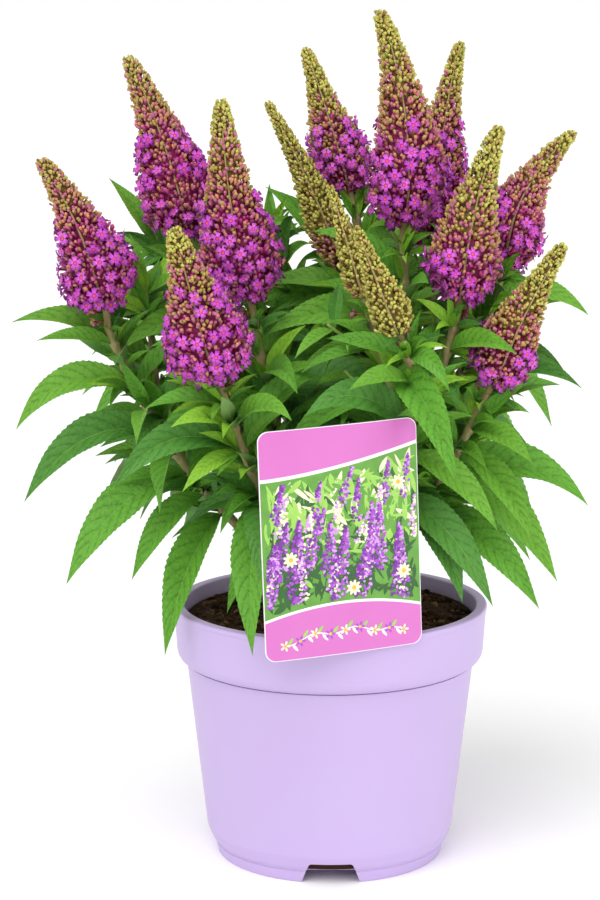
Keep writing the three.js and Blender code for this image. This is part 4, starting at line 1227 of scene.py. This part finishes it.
def place_knot(surface, head, share, rng):
    """A loose cluster of buds on the stem below the head."""
    k, total = KNOT, KNOT["buds"]
    way = unit(head.out(rng.uniform(0, FULL_TURN)) + head.tangent * k["rise"])
    middle = head.end + head.axis * share + way * rng.uniform(*k["stand_off"])
    ways = unit(way + rng.normal(0, k["spread"], (total, 3)))
    size = bud_size(np.zeros(total), head.scale) * rng.uniform(*k["size"], (total, 1))
    body, tip = rng.choice((PLUM_DARK, BROWN, PLUM), total), rng.choice((PLUM, ROSE, OLIVE), total)
    place_drops(surface, BUD_SHAPE, middle + ways * k["foot"], ways, size[:, 0], size[:, 1], body, tip, rng)
    tube(surface, np.array([head.end + head.axis * share - way, middle + way]), k["stalk"], 5, BROWN)


def floret_template():
    """A flower facing +z: per lobe an eye triangle, a throat quad, a lobe of five corners from notch to
    notch over two shoulders and its end, and the lobe's back; then a tube of five sides behind. Each of its
    rings is (radius, height, turn as a share of a lobe)."""
    lobes, r, tube_radius = FLORET["lobes"], FLORET["radius"], FLORET["tube_radius"]
    rings = ((0.85, 0.0, -0.5), (0.32 * r, 0.2, -0.5), (0.88 * r, 0.7, -0.29), (r, 0.2, 0),
             (0.88 * r, 0.7, 0.29), (tube_radius, -0.8, -0.5), (tube_radius, -FLORET["tube"], -0.5))
    verts = [[[0, 0, -0.35]]]
    for radius, z, offset in rings:
        angle = ring_angles(lobes) + offset * FULL_TURN / lobes
        verts.append(np.stack([radius * np.cos(angle), radius * np.sin(angle), np.full(lobes, z)], axis=-1))
    k = np.arange(lobes)
    nxt = (k + 1) % lobes
    eye, notch, first, end, second, neck, foot = (1 + lobes * i for i in range(7))
    lobe = (first + k, end + k, second + k)
    return np.vstack(verts), {
        "eye": np.stack([0 * k, eye + k, eye + nxt], axis=-1),
        "throat": np.stack([eye + k, notch + k, notch + nxt, eye + nxt], axis=-1),
        "lobes": np.stack([notch + k, *lobe, notch + nxt], axis=-1),
        "behind": np.stack([neck + k, neck + nxt, notch + nxt, *lobe[::-1], notch + k], axis=-1),
        "tube": np.stack([foot + k, foot + nxt, neck + nxt, neck + k], axis=-1),
        "foot": (foot + k[::-1])[None],
    }


def place_florets(surface, head, open_share, rng):
    """Open flowers at least spacing apart, in patches, and fewer towards the upper edge of the open part
    and along the seams."""
    f = FLORET
    tries, (below, above) = f["tries"], f["past"]
    share = rng.uniform(-below, open_share + above, tries)
    turn = rng.uniform(0, FULL_TURN, tries)
    out = head.out(turn)
    seat = head.radius(share) * rng.uniform(*f["seat"], tries) + f["stand_off"]
    points = head.spine(share) + out * seat[:, None]
    patch = ripple(points, f["patch"], int(rng.integers(1000)))
    faded = f["fade"] * smooth(f["fade_from"] * open_share, open_share, share)
    wanted = f["dense"] - faded + f["patchy"] * patch
    wanted = wanted * (f["on_seam"] + (1 - f["on_seam"]) * smooth(*SEAM["bare"], head.from_seam(turn, share)))
    kept = []
    for i in np.flatnonzero(rng.random(tries) < wanted):
        apart = not kept or np.linalg.norm(points[kept] - points[i], axis=1).min() > f["spacing"]
        if apart and BLADES_THERE.find(points[i])[2] > f["radius"]:
            kept.append(i)
    point, out, share, n = points[kept], out[kept], share[kept], len(kept)
    lift = np.radians(rng.normal(f["rise"][0] + f["rise"][1] * share, f["rise_scatter"]))[:, None]
    facing = unit(out * np.cos(lift) + head.tangent * np.sin(lift) + rng.normal(0, f["nod"], (n, 3)))
    axes = frames_along(facing, rng.uniform(0, FULL_TURN, n)) * rng.uniform(*f["size"], n)[:, None, None]
    verts, faces = FLORET_SHAPE
    placed = point[:, None] + np.einsum("mk,nkc->nmc", verts, axes)
    tone = rng.integers(0, 2, n)
    surface.add(placed, [
        (many(faces[key], len(verts), n), np.repeat(tone, len(faces[key])) if slot is None else slot)
        for key, slot in FLORET_SLOTS.items()])


BUD_SHAPE = drop_shape(4, ((0.4, 0.27), (0.8, 0.52)))
FLORET_SHAPE = floret_template()

# ---------- pot and compost ----------


def turned_pot():
    """The moulded pot's profile turned about +Z: pad, foot ring, heel, wall, band and rim, then its inside.
    Each corner is (radius, height, rounding)."""
    p = POT
    band_low, inner = p["height"] - p["band_depth"], p["rim"] - p["rim_width"]
    ring, foot_top, inside = p["foot"] - p["foot_width"], p["foot_height"], p["floor_lift"] + p["floor"]
    lip, lip_foot, lip_top = p["lip"]
    surface = Surface()
    lathe(surface, rounded([
        (0, 0), (p["pad"], 0, 0.8), (p["pad"] + 2, p["floor_lift"], 0.8), (ring, p["floor_lift"], 0.8),
        (ring, 0, 0.8), (p["foot"], 0, 0.8), (p["foot"] + 1.5, foot_top - 0.7, 0.3),
        (p["foot"] + 0.9, foot_top, 0.3), (p["foot"] + 1.8, foot_top + 0.8, 0.4),
        (p["foot"] + 3.8, p["heel"] * 0.6, 8), (p["body_foot"], p["heel"], 12),
        (p["body_top"], band_low, 1.2), (p["band_foot"] - p["band_edge"] * 0.55, band_low, 1.0),
        (p["band_foot"] - 0.6, band_low + 0.2, p["band_edge"] * 0.8),
        (p["band_foot"], band_low + p["band_edge"], 20), (p["rim"] - lip, p["height"] - lip_foot, 0.4),
        (p["rim"], p["height"] - lip_top, 0.5), (p["rim"], p["height"], 1.1), (inner, p["height"], 1.2),
        (inner - 1, p["height"] - 12, 3), (p["body_top"] - p["wall"], band_low + 4, 3),
        (p["body_foot"] - p["wall"], p["heel"], 6), (p["foot"] - 1, inside, 2), (0, inside),
    ]), p["segments"])
    return surface


def notch_prism(angle):
    """A trapezium with rounded upper corners, pushed through the wall at one angle."""
    n = NOTCH
    outline = rounded([
        (-n["foot"] / 2, -1), (n["foot"] / 2, -1, 0), (n["top"] / 2, n["height"], n["corner"]),
        (-n["top"] / 2, n["height"], n["corner"]), (-n["foot"] / 2, -1)], 4)[:-1]
    flat, count = np.insert(outline, 1, -(POT["foot"] - n["inset"]), axis=1), len(outline)
    points = np.vstack([flat, flat - [0, n["depth"], 0]])
    c, s = math.cos(angle), math.sin(angle)
    surface, side = Surface(), np.arange(count)
    surface.add(points @ np.array([[c, s, 0], [-s, c, 0], [0, 0, 1]]), [
        (side[None, ::-1], 0), (side[None] + count, 0), (prism_faces(count), 0)])
    return surface


def make_pot(plastic):
    """The turned pot less its notches, with its sharper edges kept crisp."""
    pot = turned_pot().piece("plastic_pot", [plastic], "pot", ["pot"])
    for k in range(NOTCH["count"]):
        cutter = notch_prism(k * FULL_TURN / NOTCH["count"]).piece(f"notch_{k}", [plastic], "pot")
        cut = pot.modifiers.new("Notch", "BOOLEAN")
        cut.object, cut.solver = cutter, "EXACT"
        shaped = bpy.data.meshes.new_from_object(pot.evaluated_get(bpy.context.evaluated_depsgraph_get()))
        pot.modifiers.clear()
        pot.data = shaped
        bpy.data.objects.remove(cutter)
    pot.data.name = "plastic_pot"
    pot.data.polygons.foreach_set("use_smooth", np.ones(len(pot.data.polygons), bool))
    pot.data.set_sharp_from_angle(angle=math.radians(POT["crisp"]))


CHIP_SHAPE = drop_shape(4, ((0.3, 0.45), (0.75, 0.4)))
# The peat's heap and edge, its lumps as (height, size, seed), and the crumbs: how many, how wide, how many
# are chips and how much longer those are, and the shares of the three finishes.
PEAT_TOP = {"heap": 26, "soft_edge": (1, 5), "lumps": ((0.7, 16, 6), (0.45, 5, 7)), "rings": 60,
            "segments": 180}
CRUMB = {"count": 2200, "size": (1.2, 3.2), "chips": 0.12, "chip_size": 1.9, "length": 1.4, "tilt": 0.25,
         "sunk": 0.8, "fall": 2.2, "shares": (0.35, 0.43, 0.22)}


def make_compost(materials):
    """Peat filled to below the rim: a turned block whose top is lifted by two ripples, strewn with crumbs and
    bark chips, evenly by area."""
    rng = np.random.default_rng(PEAT_SEED)
    inset = POT["wall"] + 0.4
    edge, floor = POT["rim"] - POT["rim_width"] - 1, POT["floor_lift"] + POT["floor"] + 0.4
    band_low = POT["height"] - POT["band_depth"]
    radii = np.linspace(edge - 1.4, 0.6, PEAT_TOP["rings"])
    level = SOIL["edge"] + (SOIL["level"] - SOIL["edge"]) * smooth(edge, PEAT_TOP["heap"], radii)
    profile = [(0, floor), (POT["foot"] - 2, floor), (POT["body_foot"] - inset, POT["heel"]),
               (POT["body_top"] - inset, band_low + 4), (edge - 0.5, SOIL["edge"] - 3)]
    profile += list(zip(radii, level)) + [(0, SOIL["level"])]

    def lift(points):
        """The ripples, which fade out down the block's side."""
        near, far = PEAT_TOP["soft_edge"]
        inwards = smooth(edge - near, edge - far, np.hypot(points[..., 0], points[..., 1]))
        waves = [height * ripple(points, size, seed) for height, size, seed in PEAT_TOP["lumps"]]
        return (points[..., 2] > SOIL["edge"] - 1) * inwards * (waves[0] + waves[1])

    surface, c = Surface(), CRUMB
    lathe(surface, profile, PEAT_TOP["segments"], 1, lift)
    count = c["count"]
    r, angle = (edge - 4) * np.sqrt(rng.random(count)), rng.uniform(0, FULL_TURN, count)
    fallen = SOIL["level"] - c["sunk"] - c["fall"] * (r / edge) ** 2
    spots = np.stack([r * np.cos(angle), r * np.sin(angle), fallen], axis=-1)
    tilt = np.abs(rng.normal(0, c["tilt"], count))
    direction = unit(np.stack([np.cos(angle * 7), np.sin(angle * 7), tilt], axis=-1))
    size = rng.uniform(*c["size"], count) * np.where(rng.random(count) < c["chips"], c["chip_size"], 1)
    tone = rng.choice(3, count, p=c["shares"])
    roots = spots - direction * size[:, None] / 2
    place_drops(surface, CHIP_SHAPE, roots, direction, size * c["length"], size, tone, tone, rng)
    surface.piece("potting_compost", materials, "compost", ["compost"])


# ---------- picture label ----------

PINK, WHITE, SHADE, MEADOW, SPRING, PURPLE, VIOLET, LILAC, CREAM, YELLOW = range(10)
# How far each printed layer lies before the card's face, and how thick sheets and patches of ink are.
LAYER = {"card": 0.0, "pink": 0.04, "meadow": 0.08, "edge": 0.1, "vine_leaf": 0.13, "vine_bloom": 0.16,
         "spikes": 0.17, "row": 0.06, "jitter": 0.05, "petal": 0.01, "eye": 0.04, "sheet": 0.06,
         "patch": 0.12}
# The picture's lower edge is a hill, and its upper edge an arc that climbs to the right.
PICTURE = {"low": 31, "hill": 7, "high": 103, "climb": 14, "arc": 1.6, "side": 46.4, "margin": 0.8,
           "frame": 0.4}
# Its grass: where, how long and wide, how far it leans, and how light it gets with its height.
GRASS = {"count": 700, "within": ((-46, 26), (46, 112)), "long": (7, 17), "wide": (1.6, 4.6), "lean": 0.8,
         "light": (30, 110), "scatter": 0.3, "point": 0.55, "grades": (0.45, 0.65, 1.1)}
# Its flower spikes, row by row from the furthest: height, how many, length, width and inks.
SPIKES = ((80, 7, 24, 7, (PURPLE, VIOLET, LILAC)), (66, 6, 26, 8, (LILAC, CREAM, CREAM)),
          (50, 6, 36, 11, (PURPLE, VIOLET, LILAC)), (36, 5, 26, 8, (LILAC, CREAM, CREAM)),
          (31, 5, 46, 14, (PURPLE, VIOLET, LILAC)))
DOT = {"long": (1.4, 2.6), "wide": (1.2, 1.9), "area": 3.0, "shade": 1.3, "scatter": 0.7}
DAISIES = ((-31, 58), (6, 38), (35, 96), (37, 44))
# The garland below it: an arch with waves, a flower at every step, and two leaves between two flowers.
VINE = {"height": 14, "arch": 5, "half": 36, "wave": 1.3, "wave_mm": 4, "line": 0.35, "step": 9,
        "leaves": ((3.2, 0.9, 2.2, SPRING), (5.8, -0.9, -2.2, WHITE)), "leaf": (5.4, 2.0)}


class Card:
    """Prints flat shapes on the curved card, a layer at a time."""

    def __init__(self):
        self.surface = Surface()

    def placed(self, x, y, z):
        """Card coordinates to the part's: rolled about Y, yawed about Z, and moved to the rim."""
        roll = math.radians(LABEL["roll"])
        u, w = x * math.cos(roll) - z * math.sin(roll), x * math.sin(roll) + z * math.cos(roll)
        return at_label(u, y, w)

    @staticmethod
    def bow(x):
        """The card's sag behind its middle: a circle of radius bend."""
        return LABEL["bend"] - np.sqrt(LABEL["bend"] ** 2 - x**2)

    def strip(self, x, low, high, slot, front, back=LAYER["sheet"], rows=2):
        """A closed sheet between the curves z = low and z = high over x, from front to back in depth."""
        share = np.linspace(0, 1, rows)[:, None]
        z = low + (high - low) * share
        xs = np.broadcast_to(x, z.shape)
        near, far = self.placed(xs, self.bow(xs) - front, z), self.placed(xs, self.bow(xs) - front + back, z)
        count, columns = rows * len(x), len(x)
        quads = grid_faces(rows, columns)
        ring = np.concatenate([
            np.arange(columns), np.arange(1, rows) * columns + columns - 1,
            (rows - 1) * columns + np.arange(columns - 2, -1, -1), np.arange(rows - 2, 0, -1) * columns])
        nxt = np.roll(ring, -1)
        self.surface.add(np.vstack([near.reshape(-1, 3), far.reshape(-1, 3)]), [
            (quads, slot), (quads[:, ::-1] + count, slot),
            (np.stack([nxt, ring, ring + count, nxt + count], axis=-1), slot)])

    def patch(self, outline, slot, front):
        """A small closed shape of (x, z) corners, anticlockwise."""
        x, z = np.asarray(outline, float).T
        near = self.placed(x, self.bow(x) - front, z)
        far = self.placed(x, self.bow(x) - front + LAYER["patch"], z)
        count = len(x)
        side = np.arange(count)
        nxt = np.roll(side, -1)
        self.surface.add(np.vstack([near, far]), [
            (side[None], slot), (side[None, ::-1] + count, slot),
            (np.stack([nxt, side, side + count, nxt + count], axis=-1), slot)])


def at_label(x, y, z):
    """Yawed about Z and moved to the label's place at the rim."""
    yaw, place = math.radians(LABEL["yaw"]), LABEL["place"]
    return np.stack([x * math.cos(yaw) - y * math.sin(yaw) + place[0],
                     x * math.sin(yaw) + y * math.cos(yaw) + place[1], z + place[2]], axis=-1)


def oval(x, z, long, wide, turn, count, point=0.0):
    """An oval with its long axis turned, narrowed to a point at both ends by point."""
    angle = ring_angles(count)
    u, v = np.cos(angle) * long / 2, np.sin(angle) * wide / 2 * (1 - point * np.abs(np.cos(angle)))
    c, s = math.cos(turn), math.sin(turn)
    return np.stack([x + u * c - v * s, z + u * s + v * c], axis=-1)


def curve_low(x):
    """The picture's lower edge: its height less the hill times the square of x over half the width."""
    return PICTURE["low"] - PICTURE["hill"] * (x / (LABEL["width"] / 2)) ** 2


def curve_high(x):
    """The picture's upper edge: its height plus the climb times a power of the share of the width."""
    return PICTURE["high"] + PICTURE["climb"] * ((x + LABEL["width"] / 2) / LABEL["width"]) ** PICTURE["arc"]


def in_picture(outline):
    """Whether a printed shape stays inside the picture's edges."""
    (x, z), margin = outline.T, PICTURE["margin"]
    beside = np.abs(x) < PICTURE["side"]
    return bool(np.all(beside & (z > curve_low(x) + margin) & (z < curve_high(x) - margin)))


def print_spike(card, rng, foot, long, wide, lean, inks, front):
    """A printed flower spike: dots that narrow to its tip and lighten on one side."""
    way, side = np.array([math.sin(lean), math.cos(lean)]), np.array([math.cos(lean), -math.sin(lean)])
    for _ in range(int(long * wide / DOT["area"])):
        share, off = rng.random() ** 0.9, rng.uniform(-1, 1)
        narrow = min(1, 4 * share + 0.4) * (1 - share) ** 0.65
        at = np.array(foot) + way * long * share + side * off * wide / 2 * narrow
        dot = oval(*at, rng.uniform(*DOT["long"]), rng.uniform(*DOT["wide"]), rng.uniform(0, 3), 6)
        if in_picture(dot):
            ink = inks[int(np.clip(DOT["shade"] + off + rng.normal(0, DOT["scatter"]), 0, 2))]
            card.patch(dot, ink, front + rng.uniform(0, LAYER["jitter"]))


def print_bloom(card, at, size, petals, petal, front):
    """A printed flower of narrow petals round a yellow middle."""
    reach = 0.72 * size
    for k in range(petals):
        turn = k / petals * FULL_TURN
        x, z = at[0] + reach * math.cos(turn), at[1] + reach * math.sin(turn)
        outline = oval(x, z, size, 0.5 * size, turn, 8)
        card.patch(outline, petal, front + LAYER["petal"] * (k % 2))
    card.patch(oval(*at, 0.7 * size, 0.7 * size, 0, 10), YELLOW, front + LAYER["eye"])


def print_picture(card, rng):
    """A meadow: its ground, blades of grass that lighten upwards, rows of flower spikes, and daisies."""
    half = LABEL["width"] / 2 - PICTURE["frame"]
    x = np.linspace(-half, half, 49)
    card.strip(x, curve_low(x) - 1.6, curve_low(x), WHITE, LAYER["edge"])
    card.strip(x, curve_high(x), curve_high(x) + 2.0, WHITE, LAYER["edge"])
    card.strip(x, curve_low(x), curve_high(x), MEADOW, LAYER["meadow"], rows=8)
    g, inks = GRASS, (SHADE, MEADOW, SPRING, CREAM)
    for _ in range(g["count"]):
        at = rng.uniform(*g["within"])
        lit = smooth(*g["light"], at[1]) + rng.normal(0, g["scatter"])
        long, wide = rng.uniform(*g["long"]), rng.uniform(*g["wide"])
        turn = QUARTER_TURN + rng.normal(0, g["lean"])
        blade = oval(*at, long, wide, turn, 10, g["point"])
        if in_picture(blade):
            ink = inks[np.searchsorted(g["grades"], lit, side="right")]
            card.patch(blade, ink, LAYER["edge"] + rng.uniform(0, LAYER["row"]))
    front = LAYER["spikes"]
    for low, count, long, wide, inks in SPIKES:
        for k in range(count):
            across = -44 + 86 * (k + 0.5 * (count % 2 == 0)) / (count - 0.5)
            foot = (across + rng.normal(0, 3), low + rng.normal(0, 3))
            tall, lean = long * rng.uniform(0.85, 1.1), rng.normal(0.16, 0.13)
            print_spike(card, rng, foot, tall, wide, lean, inks, front)
        front += LAYER["row"]
    for at in DAISIES:
        print_bloom(card, at, 3.8, 9, CREAM, front)


def vine_height(x):
    """The garland's line: an arch that falls as the square of x, plus a sine."""
    v = VINE
    return v["height"] - v["arch"] * (x / v["half"]) ** 2 + v["wave"] * np.sin(x / v["wave_mm"])


def print_garland(card):
    """The garland's line, its leaves and its flowers."""
    v = VINE
    x = np.linspace(-v["half"], v["half"], 61)
    card.strip(x, vine_height(x) - v["line"], vine_height(x) + v["line"], WHITE, LAYER["edge"])
    steps = 2 * v["half"] // v["step"]
    for k in range(steps + 1):
        x = -v["half"] + v["step"] * k
        if k < steps:
            for aside, turn, off, ink in v["leaves"]:
                leaf = oval(x + aside, vine_height(x + aside) + off, *v["leaf"], turn, 10, 0.5)
                card.patch(leaf, ink, LAYER["vine_leaf"])
        print_bloom(card, (x, vine_height(x)), 2.7, 5, VIOLET if k % 2 else CREAM, LAYER["vine_bloom"])


def make_label(materials):
    """A plastic card with a pink print, a picture of flower spikes in a meadow, and a tongue."""
    card, rng = Card(), np.random.default_rng(PRINT_SEED)
    half, height, corner = LABEL["width"] / 2, LABEL["height"], LABEL["corner"]
    arc = corner * (1 - np.cos(np.linspace(0, QUARTER_TURN, 8)[1:-1]))
    flat = np.linspace(-half + corner, half - corner, 33)
    x = np.concatenate([[-half], -half + arc, flat, half - arc[::-1], [half]])
    cut = corner - np.sqrt(corner**2 - np.clip(np.abs(x) - (half - corner), 0, corner) ** 2)
    cut[[0, -1]] = corner - 0.01
    sheets = ((0.0, "card", LABEL["thickness"], WHITE), (0.35, "pink", LAYER["patch"], PINK))
    for inset, layer, depth, slot in sheets:
        shrink = (half - inset) / half
        card.strip(x * shrink, cut + inset, height - cut - inset, slot, LAYER[layer], depth, 24)
    print_picture(card, rng)
    print_garland(card)
    label_tongue(card.surface)
    card.surface.piece("picture_label", materials, "label", ["plant_label"], smooth=False)


def label_tongue(surface):
    """The strip that folds back over the rim and down into the compost."""
    reach, drop, lean, t = LABEL["reach"], LABEL["drop"], LABEL["lean"], LABEL["thickness"]
    rise = POT["height"] + GAP - LABEL["place"][2]
    y, z = rounded([
        (t / 2, rise), (reach - t, rise, 2.0), (reach - t + lean, rise - drop, 0),
        (reach + lean, rise - drop, 0), (reach, rise + t, 2.9), (t / 2, rise + t)], 4).T
    half, count = LABEL["tongue_width"] / 2, len(y)
    ring = np.arange(count)
    surface.add(np.vstack([at_label(x, y, z) for x in (-half, half)]), [
        (ring[None, ::-1], WHITE), (ring[None] + count, WHITE), (prism_faces(count), WHITE)])


# ---------- finishes ----------

DULL = {"Roughness": 0.95, "Specular IOR Level": 0.1}
SATIN_PETAL = {"Roughness": 0.55, "Specular IOR Level": 0.25}
DOWNY = {"Roughness": 0.6, "Specular IOR Level": 0.25}

# Polypropylene from the mould: an even, satin skin that drifts and swells a little over 70 mm.
PLASTIC = mottled("moulded_polypropylene", 0xBDA7D6, 0xC2AEDA, 70, 0.015, Roughness=0.42)
# Moist peat drinks the light: near black, in grains of 2 mm. Its crumbs are browner and bark chips tan. The
# grain is drawn coarser than peat's own fibres, which are a few tenths of a millimetre.
PEAT = [mottled("moist_peat", 0x120A04, 0x2E1E0E, 2.2, 0.6, **DULL),
        mottled("peat_crumb", 0x24160A, 0x48301A, 1.6, 0.4, **{**DULL, "Roughness": 0.9}),
        mottled("bark_chip", 0x4A3620, 0x7E6040, 1.6, 0.3, **{"Roughness": 0.85, "Specular IOR Level": 0.2})]
# Printed plastic card: smooth flat inks with a soft gloss. Each drifts in strength over 2 to 30 mm, drawn
# much coarser than real, because the dots of a print are well under 1 mm.
CARD_PRINT = [
    mottled(f"printed_card_{name}", low, high, size, Roughness=0.3)
    for name, low, high, size in (
        ("pink", 0xCC68B8, 0xD276C0, 30), ("white", 0xF4F0F2, 0xFBF9FA, 30), ("shade", 0x1E4A1C, 0x38702E, 6),
        ("meadow", 0x4A882C, 0x74AE46, 9), ("spring", 0x84BE42, 0xAEDA6C, 5),
        ("purple", 0x661C88, 0x8634A8, 2), ("violet", 0x963CB8, 0xB05CCE, 2),
        ("lilac", 0xC684DA, 0xDAA8E8, 2), ("cream", 0xE2E0B8, 0xF0EED0, 3),
        ("yellow", 0xF0A828, 0xF8C848, 2))]
# Felted bark: dull tan with streaks 1.3 mm wide along the stem, drawn coarser than the real fissures, which
# are a few tenths of a millimetre. Above it the ripening stem is smoother, and the green one, still waxy,
# takes a little shine.
BARKS = [mottled("young_bark", 0x70663A, 0xBAAE78, 1.3, 0.4, 8.0, Roughness=0.8),
         mottled("ripening_stem", 0x7A6E40, 0xB6A874, 1.4, 0.2, 6.0, Roughness=0.7),
         mottled("green_stem", 0x6B8A34, 0x8FA850, 1.6, 0.1, 5.0, Roughness=0.6)]
# Leaf blades in four ages: a soft sheen over furrowed veins, with painted shade in the furrows. Below, they
# are pale with felt, which drifts over 3 mm, coarser than its hairs are. The midrib is a smooth, lighter line
# that drifts over 8 mm.
BLADES = [
    *(leaf_blade(f"leaf_{name}", low, high, roughness) for name, low, high, roughness in (
        ("dark", 0x285616, 0x548E38, 0.5), ("mid", 0x306213, 0x66A436, 0.5),
        ("light", 0x3A6E14, 0x70AA38, 0.5), ("young", 0x609A1E, 0x90C43C, 0.55))),
    mottled("leaf_underside_felt", 0x6A8E46, 0x86A862, 3.0, 0.1, Roughness=0.85),
    mottled("leaf_midrib", 0x628E34, 0x7EA84C, 8.0, Roughness=0.6)]
# Downy buds, from ripe plum to unripe olive: matt, each a little uneven over 2.4 mm, about its own width. The
# two
# core finishes are darker than the buds: painted shade between them.
BLOSSOM = [mottled(f"bud_{name}", low, high, 2.4, **DOWNY) for name, low, high in (
    ("plum_dark", 0x821A52, 0xA22E70), ("plum", 0xAC2E78, 0xCA4A94), ("rose", 0xB0567A, 0xCE7E98),
    ("peach", 0xBE7C5A, 0xD89E78), ("tan", 0xA48A48, 0xC2AA64), ("olive", 0x928E3A, 0xB0AC54),
    ("olive_light", 0xBAB650, 0xD2CE72), ("brown", 0x7E4A30, 0x9E6A48), ("plum_core_shade", 0x761646, 0x92285C),
    ("olive_core_shade", 0x746030, 0x927C3E), ("stalk", 0x8C7E4C, 0xACA06A))]
# Thin petals with the soft satin of living tissue, which drift in brightness over 3 mm, about a lobe's width,
# round an orange eye.
PETALS = [mottled(f"petal_{name}", low, high, 3.0, 0.05, **SATIN_PETAL) for name, low, high in (
    ("violet", 0xC240C4, 0xD85CD6), ("orchid", 0xD050CA, 0xE470DE), ("eye", 0xE04A1C, 0xF27830),
    ("throat", 0x962094, 0xB036AC), ("back", 0xBC48BE, 0xD264D2))]
# Matt white paper under the pot, barely uneven over 400 mm.
PAPER = mottled("pale_matt_floor", 0xFBFAFA, 0xFDFDFD, 400, Roughness=0.95)

# ---------- the pieces ----------

masses = [grow_mass(stem, i) for i, stem in enumerate(STEMS)]
HEADS = [Head(spec) for stem in STEMS for spec in stem["shoots"] if "radius" in spec]
SIDES = {"west": ("left", "left_back", "left_middle", "front_left"),
         "middle": ("back", "centre", "back_right", "front"),
         "east": ("right", "right_middle", "front_right")}

make_pot(PLASTIC)
make_compost(PEAT)
make_label(CARD_PRINT)

wood, shoots = Surface(), Surface()
grow_crown(wood)
for mass in masses:
    grow_bough(wood, mass)
    for number, shoot in enumerate(mass["shoots"]):
        grow_shoot(shoots, mass, number, shoot)
    grow_twigs(shoots, mass)
foliage = ["foliage_" + mass["name"] for mass in masses]
wood.piece("woody_stems", BARKS, "bark", ["crown", *("stem_" + mass["name"] for mass in masses)])
shoots.piece("leafy_shoots", BARKS, "foliage", foliage)

rng = np.random.default_rng(LEAF_SEED)
BLADES_THERE = blade_tree([leaf for mass in masses for leaf in mass["leaves"]])
young = Surface()
for side, names in SIDES.items():
    large = Surface()
    chosen = [mass for mass in masses if mass["name"] in names]
    leaves = deal_tones([leaf for mass in chosen for leaf in mass["leaves"] if beside_heads(leaf)], rng)
    long = [leaf for leaf in leaves if leaf["length"] > LEAF["long"]]
    short = [leaf for leaf in leaves if leaf["length"] <= LEAF["long"]]
    grow_blades(large, long, BLADE["rows"], rng, True)
    grow_blades(large, short, BLADE["short_rows"], rng, True)
    nodes = ["foliage_" + name for name in names]
    large.piece("leaves_" + side, BLADES, "foliage", nodes, crisp=BLADE["crisp"])
    extra = clear_of([leaf for mass in chosen for leaf in young_growth(mass, rng)], YOUNG["apart"])
    grow_blades(young, extra, BLADE["young_rows"], rng, False)
young.piece("young_leaves", BLADES, "foliage", foliage, crisp=BLADE["crisp"])

for side, names in SIDES.items():
    buds, florets = Surface(), Surface()
    for index, mass in enumerate(masses):
        if mass["name"] in names:
            for number, shoot in enumerate(mass["shoots"]):
                if "radius" in shoot["spec"]:
                    seed = HEAD_SEED[0] + HEAD_SEED[1] * index + number
                    grow_head(buds, florets, shoot["spec"], seed)
    nodes = ["foliage_" + name for name in names]
    buds.piece("flower_buds_" + side, BLOSSOM, "foliage", nodes)
    florets.piece("open_flowers_" + side, PETALS, "foliage", nodes)

# ---------- floor, light and camera ----------

# A soft key from the left front, a weak fill from the right, and a dome that is white at the horizon.
LIGHT = {"key": 1.72, "key_spread": 50.0, "key_place": (-800, -1400, 2250), "fill": 9.5, "fill_size": 1.2,
         "fill_place": (1600, -900, 700), "dome": 0.74, "horizon": (0.05, 0.2), "horizon_white": 1.0,
         "target": (0, 0, 0.26)}
FLOOR = {"radius": 30000, "sides": 64}

floor = Surface()
turn = ring_angles(FLOOR["sides"])
edge = np.stack([FLOOR["radius"] * np.cos(turn), FLOOR["radius"] * np.sin(turn), 0 * turn], axis=-1)
floor.add(np.vstack([[0, 0, 0], edge]), [(fan_faces(0, 1 + np.arange(FLOOR["sides"])), 0)])
ground = bpy.data.meshes.new("floor")
ground.from_pydata(floor.points[0] * MM, [], floor.corners[0].reshape(-1, 3))
studio_floor = bpy.data.objects.new("studio_floor", ground)
ground.materials.append(PAPER)
bpy.context.scene.collection.objects.link(studio_floor)


def aimed(name, lamp, place):
    """Puts a lamp at a place in mm, turned to the plant's middle."""
    holder = bpy.data.objects.new(name, lamp)
    holder.location = np.array(place) * MM
    holder.rotation_euler = (Vector(LIGHT["target"]) - holder.location).to_track_quat("-Z", "Y").to_euler()
    bpy.context.scene.collection.objects.link(holder)


key = bpy.data.lights.new("key", "SUN")
key.energy, key.angle = LIGHT["key"], math.radians(LIGHT["key_spread"])
aimed("key", key, LIGHT["key_place"])
fill = bpy.data.lights.new("fill", "AREA")
fill.energy, fill.size = LIGHT["fill"], LIGHT["fill_size"]
aimed("fill", fill, LIGHT["fill_place"])

scene = bpy.context.scene
scene.world = bpy.data.worlds.new("studio")
scene.world.use_nodes = True
sky = scene.world.node_tree
sky.nodes.clear()
ways = add(sky, "ShaderNodeTexCoord")
height = add(sky, "ShaderNodeSeparateXYZ", {0: ways.outputs["Generated"]})
dome = add(sky, "ShaderNodeMapRange", {
    "Value": height.outputs["Z"], "From Min": LIGHT["horizon"][0], "From Max": LIGHT["horizon"][1],
    "To Min": LIGHT["horizon_white"], "To Max": LIGHT["dome"]})
glow = add(sky, "ShaderNodeBackground", {"Color": (1, 1, 1, 1), "Strength": dome})
add(sky, "ShaderNodeOutputWorld", {"Surface": glow})
scene.view_settings.view_transform = "Standard"

lens = bpy.data.cameras.new("camera")
lens.sensor_width = CAMERA["sensor"]
lens.lens = CAMERA["focal"] / CAMERA["frame_height"] * lens.sensor_width
viewer = bpy.data.objects.new("camera", lens)
viewer.location = np.array(CAMERA["place"]) * MM
viewer.rotation_euler = (math.radians(90 + CAMERA["pitch"]), 0, 0)
scene.collection.objects.link(viewer)
scene.camera = viewer
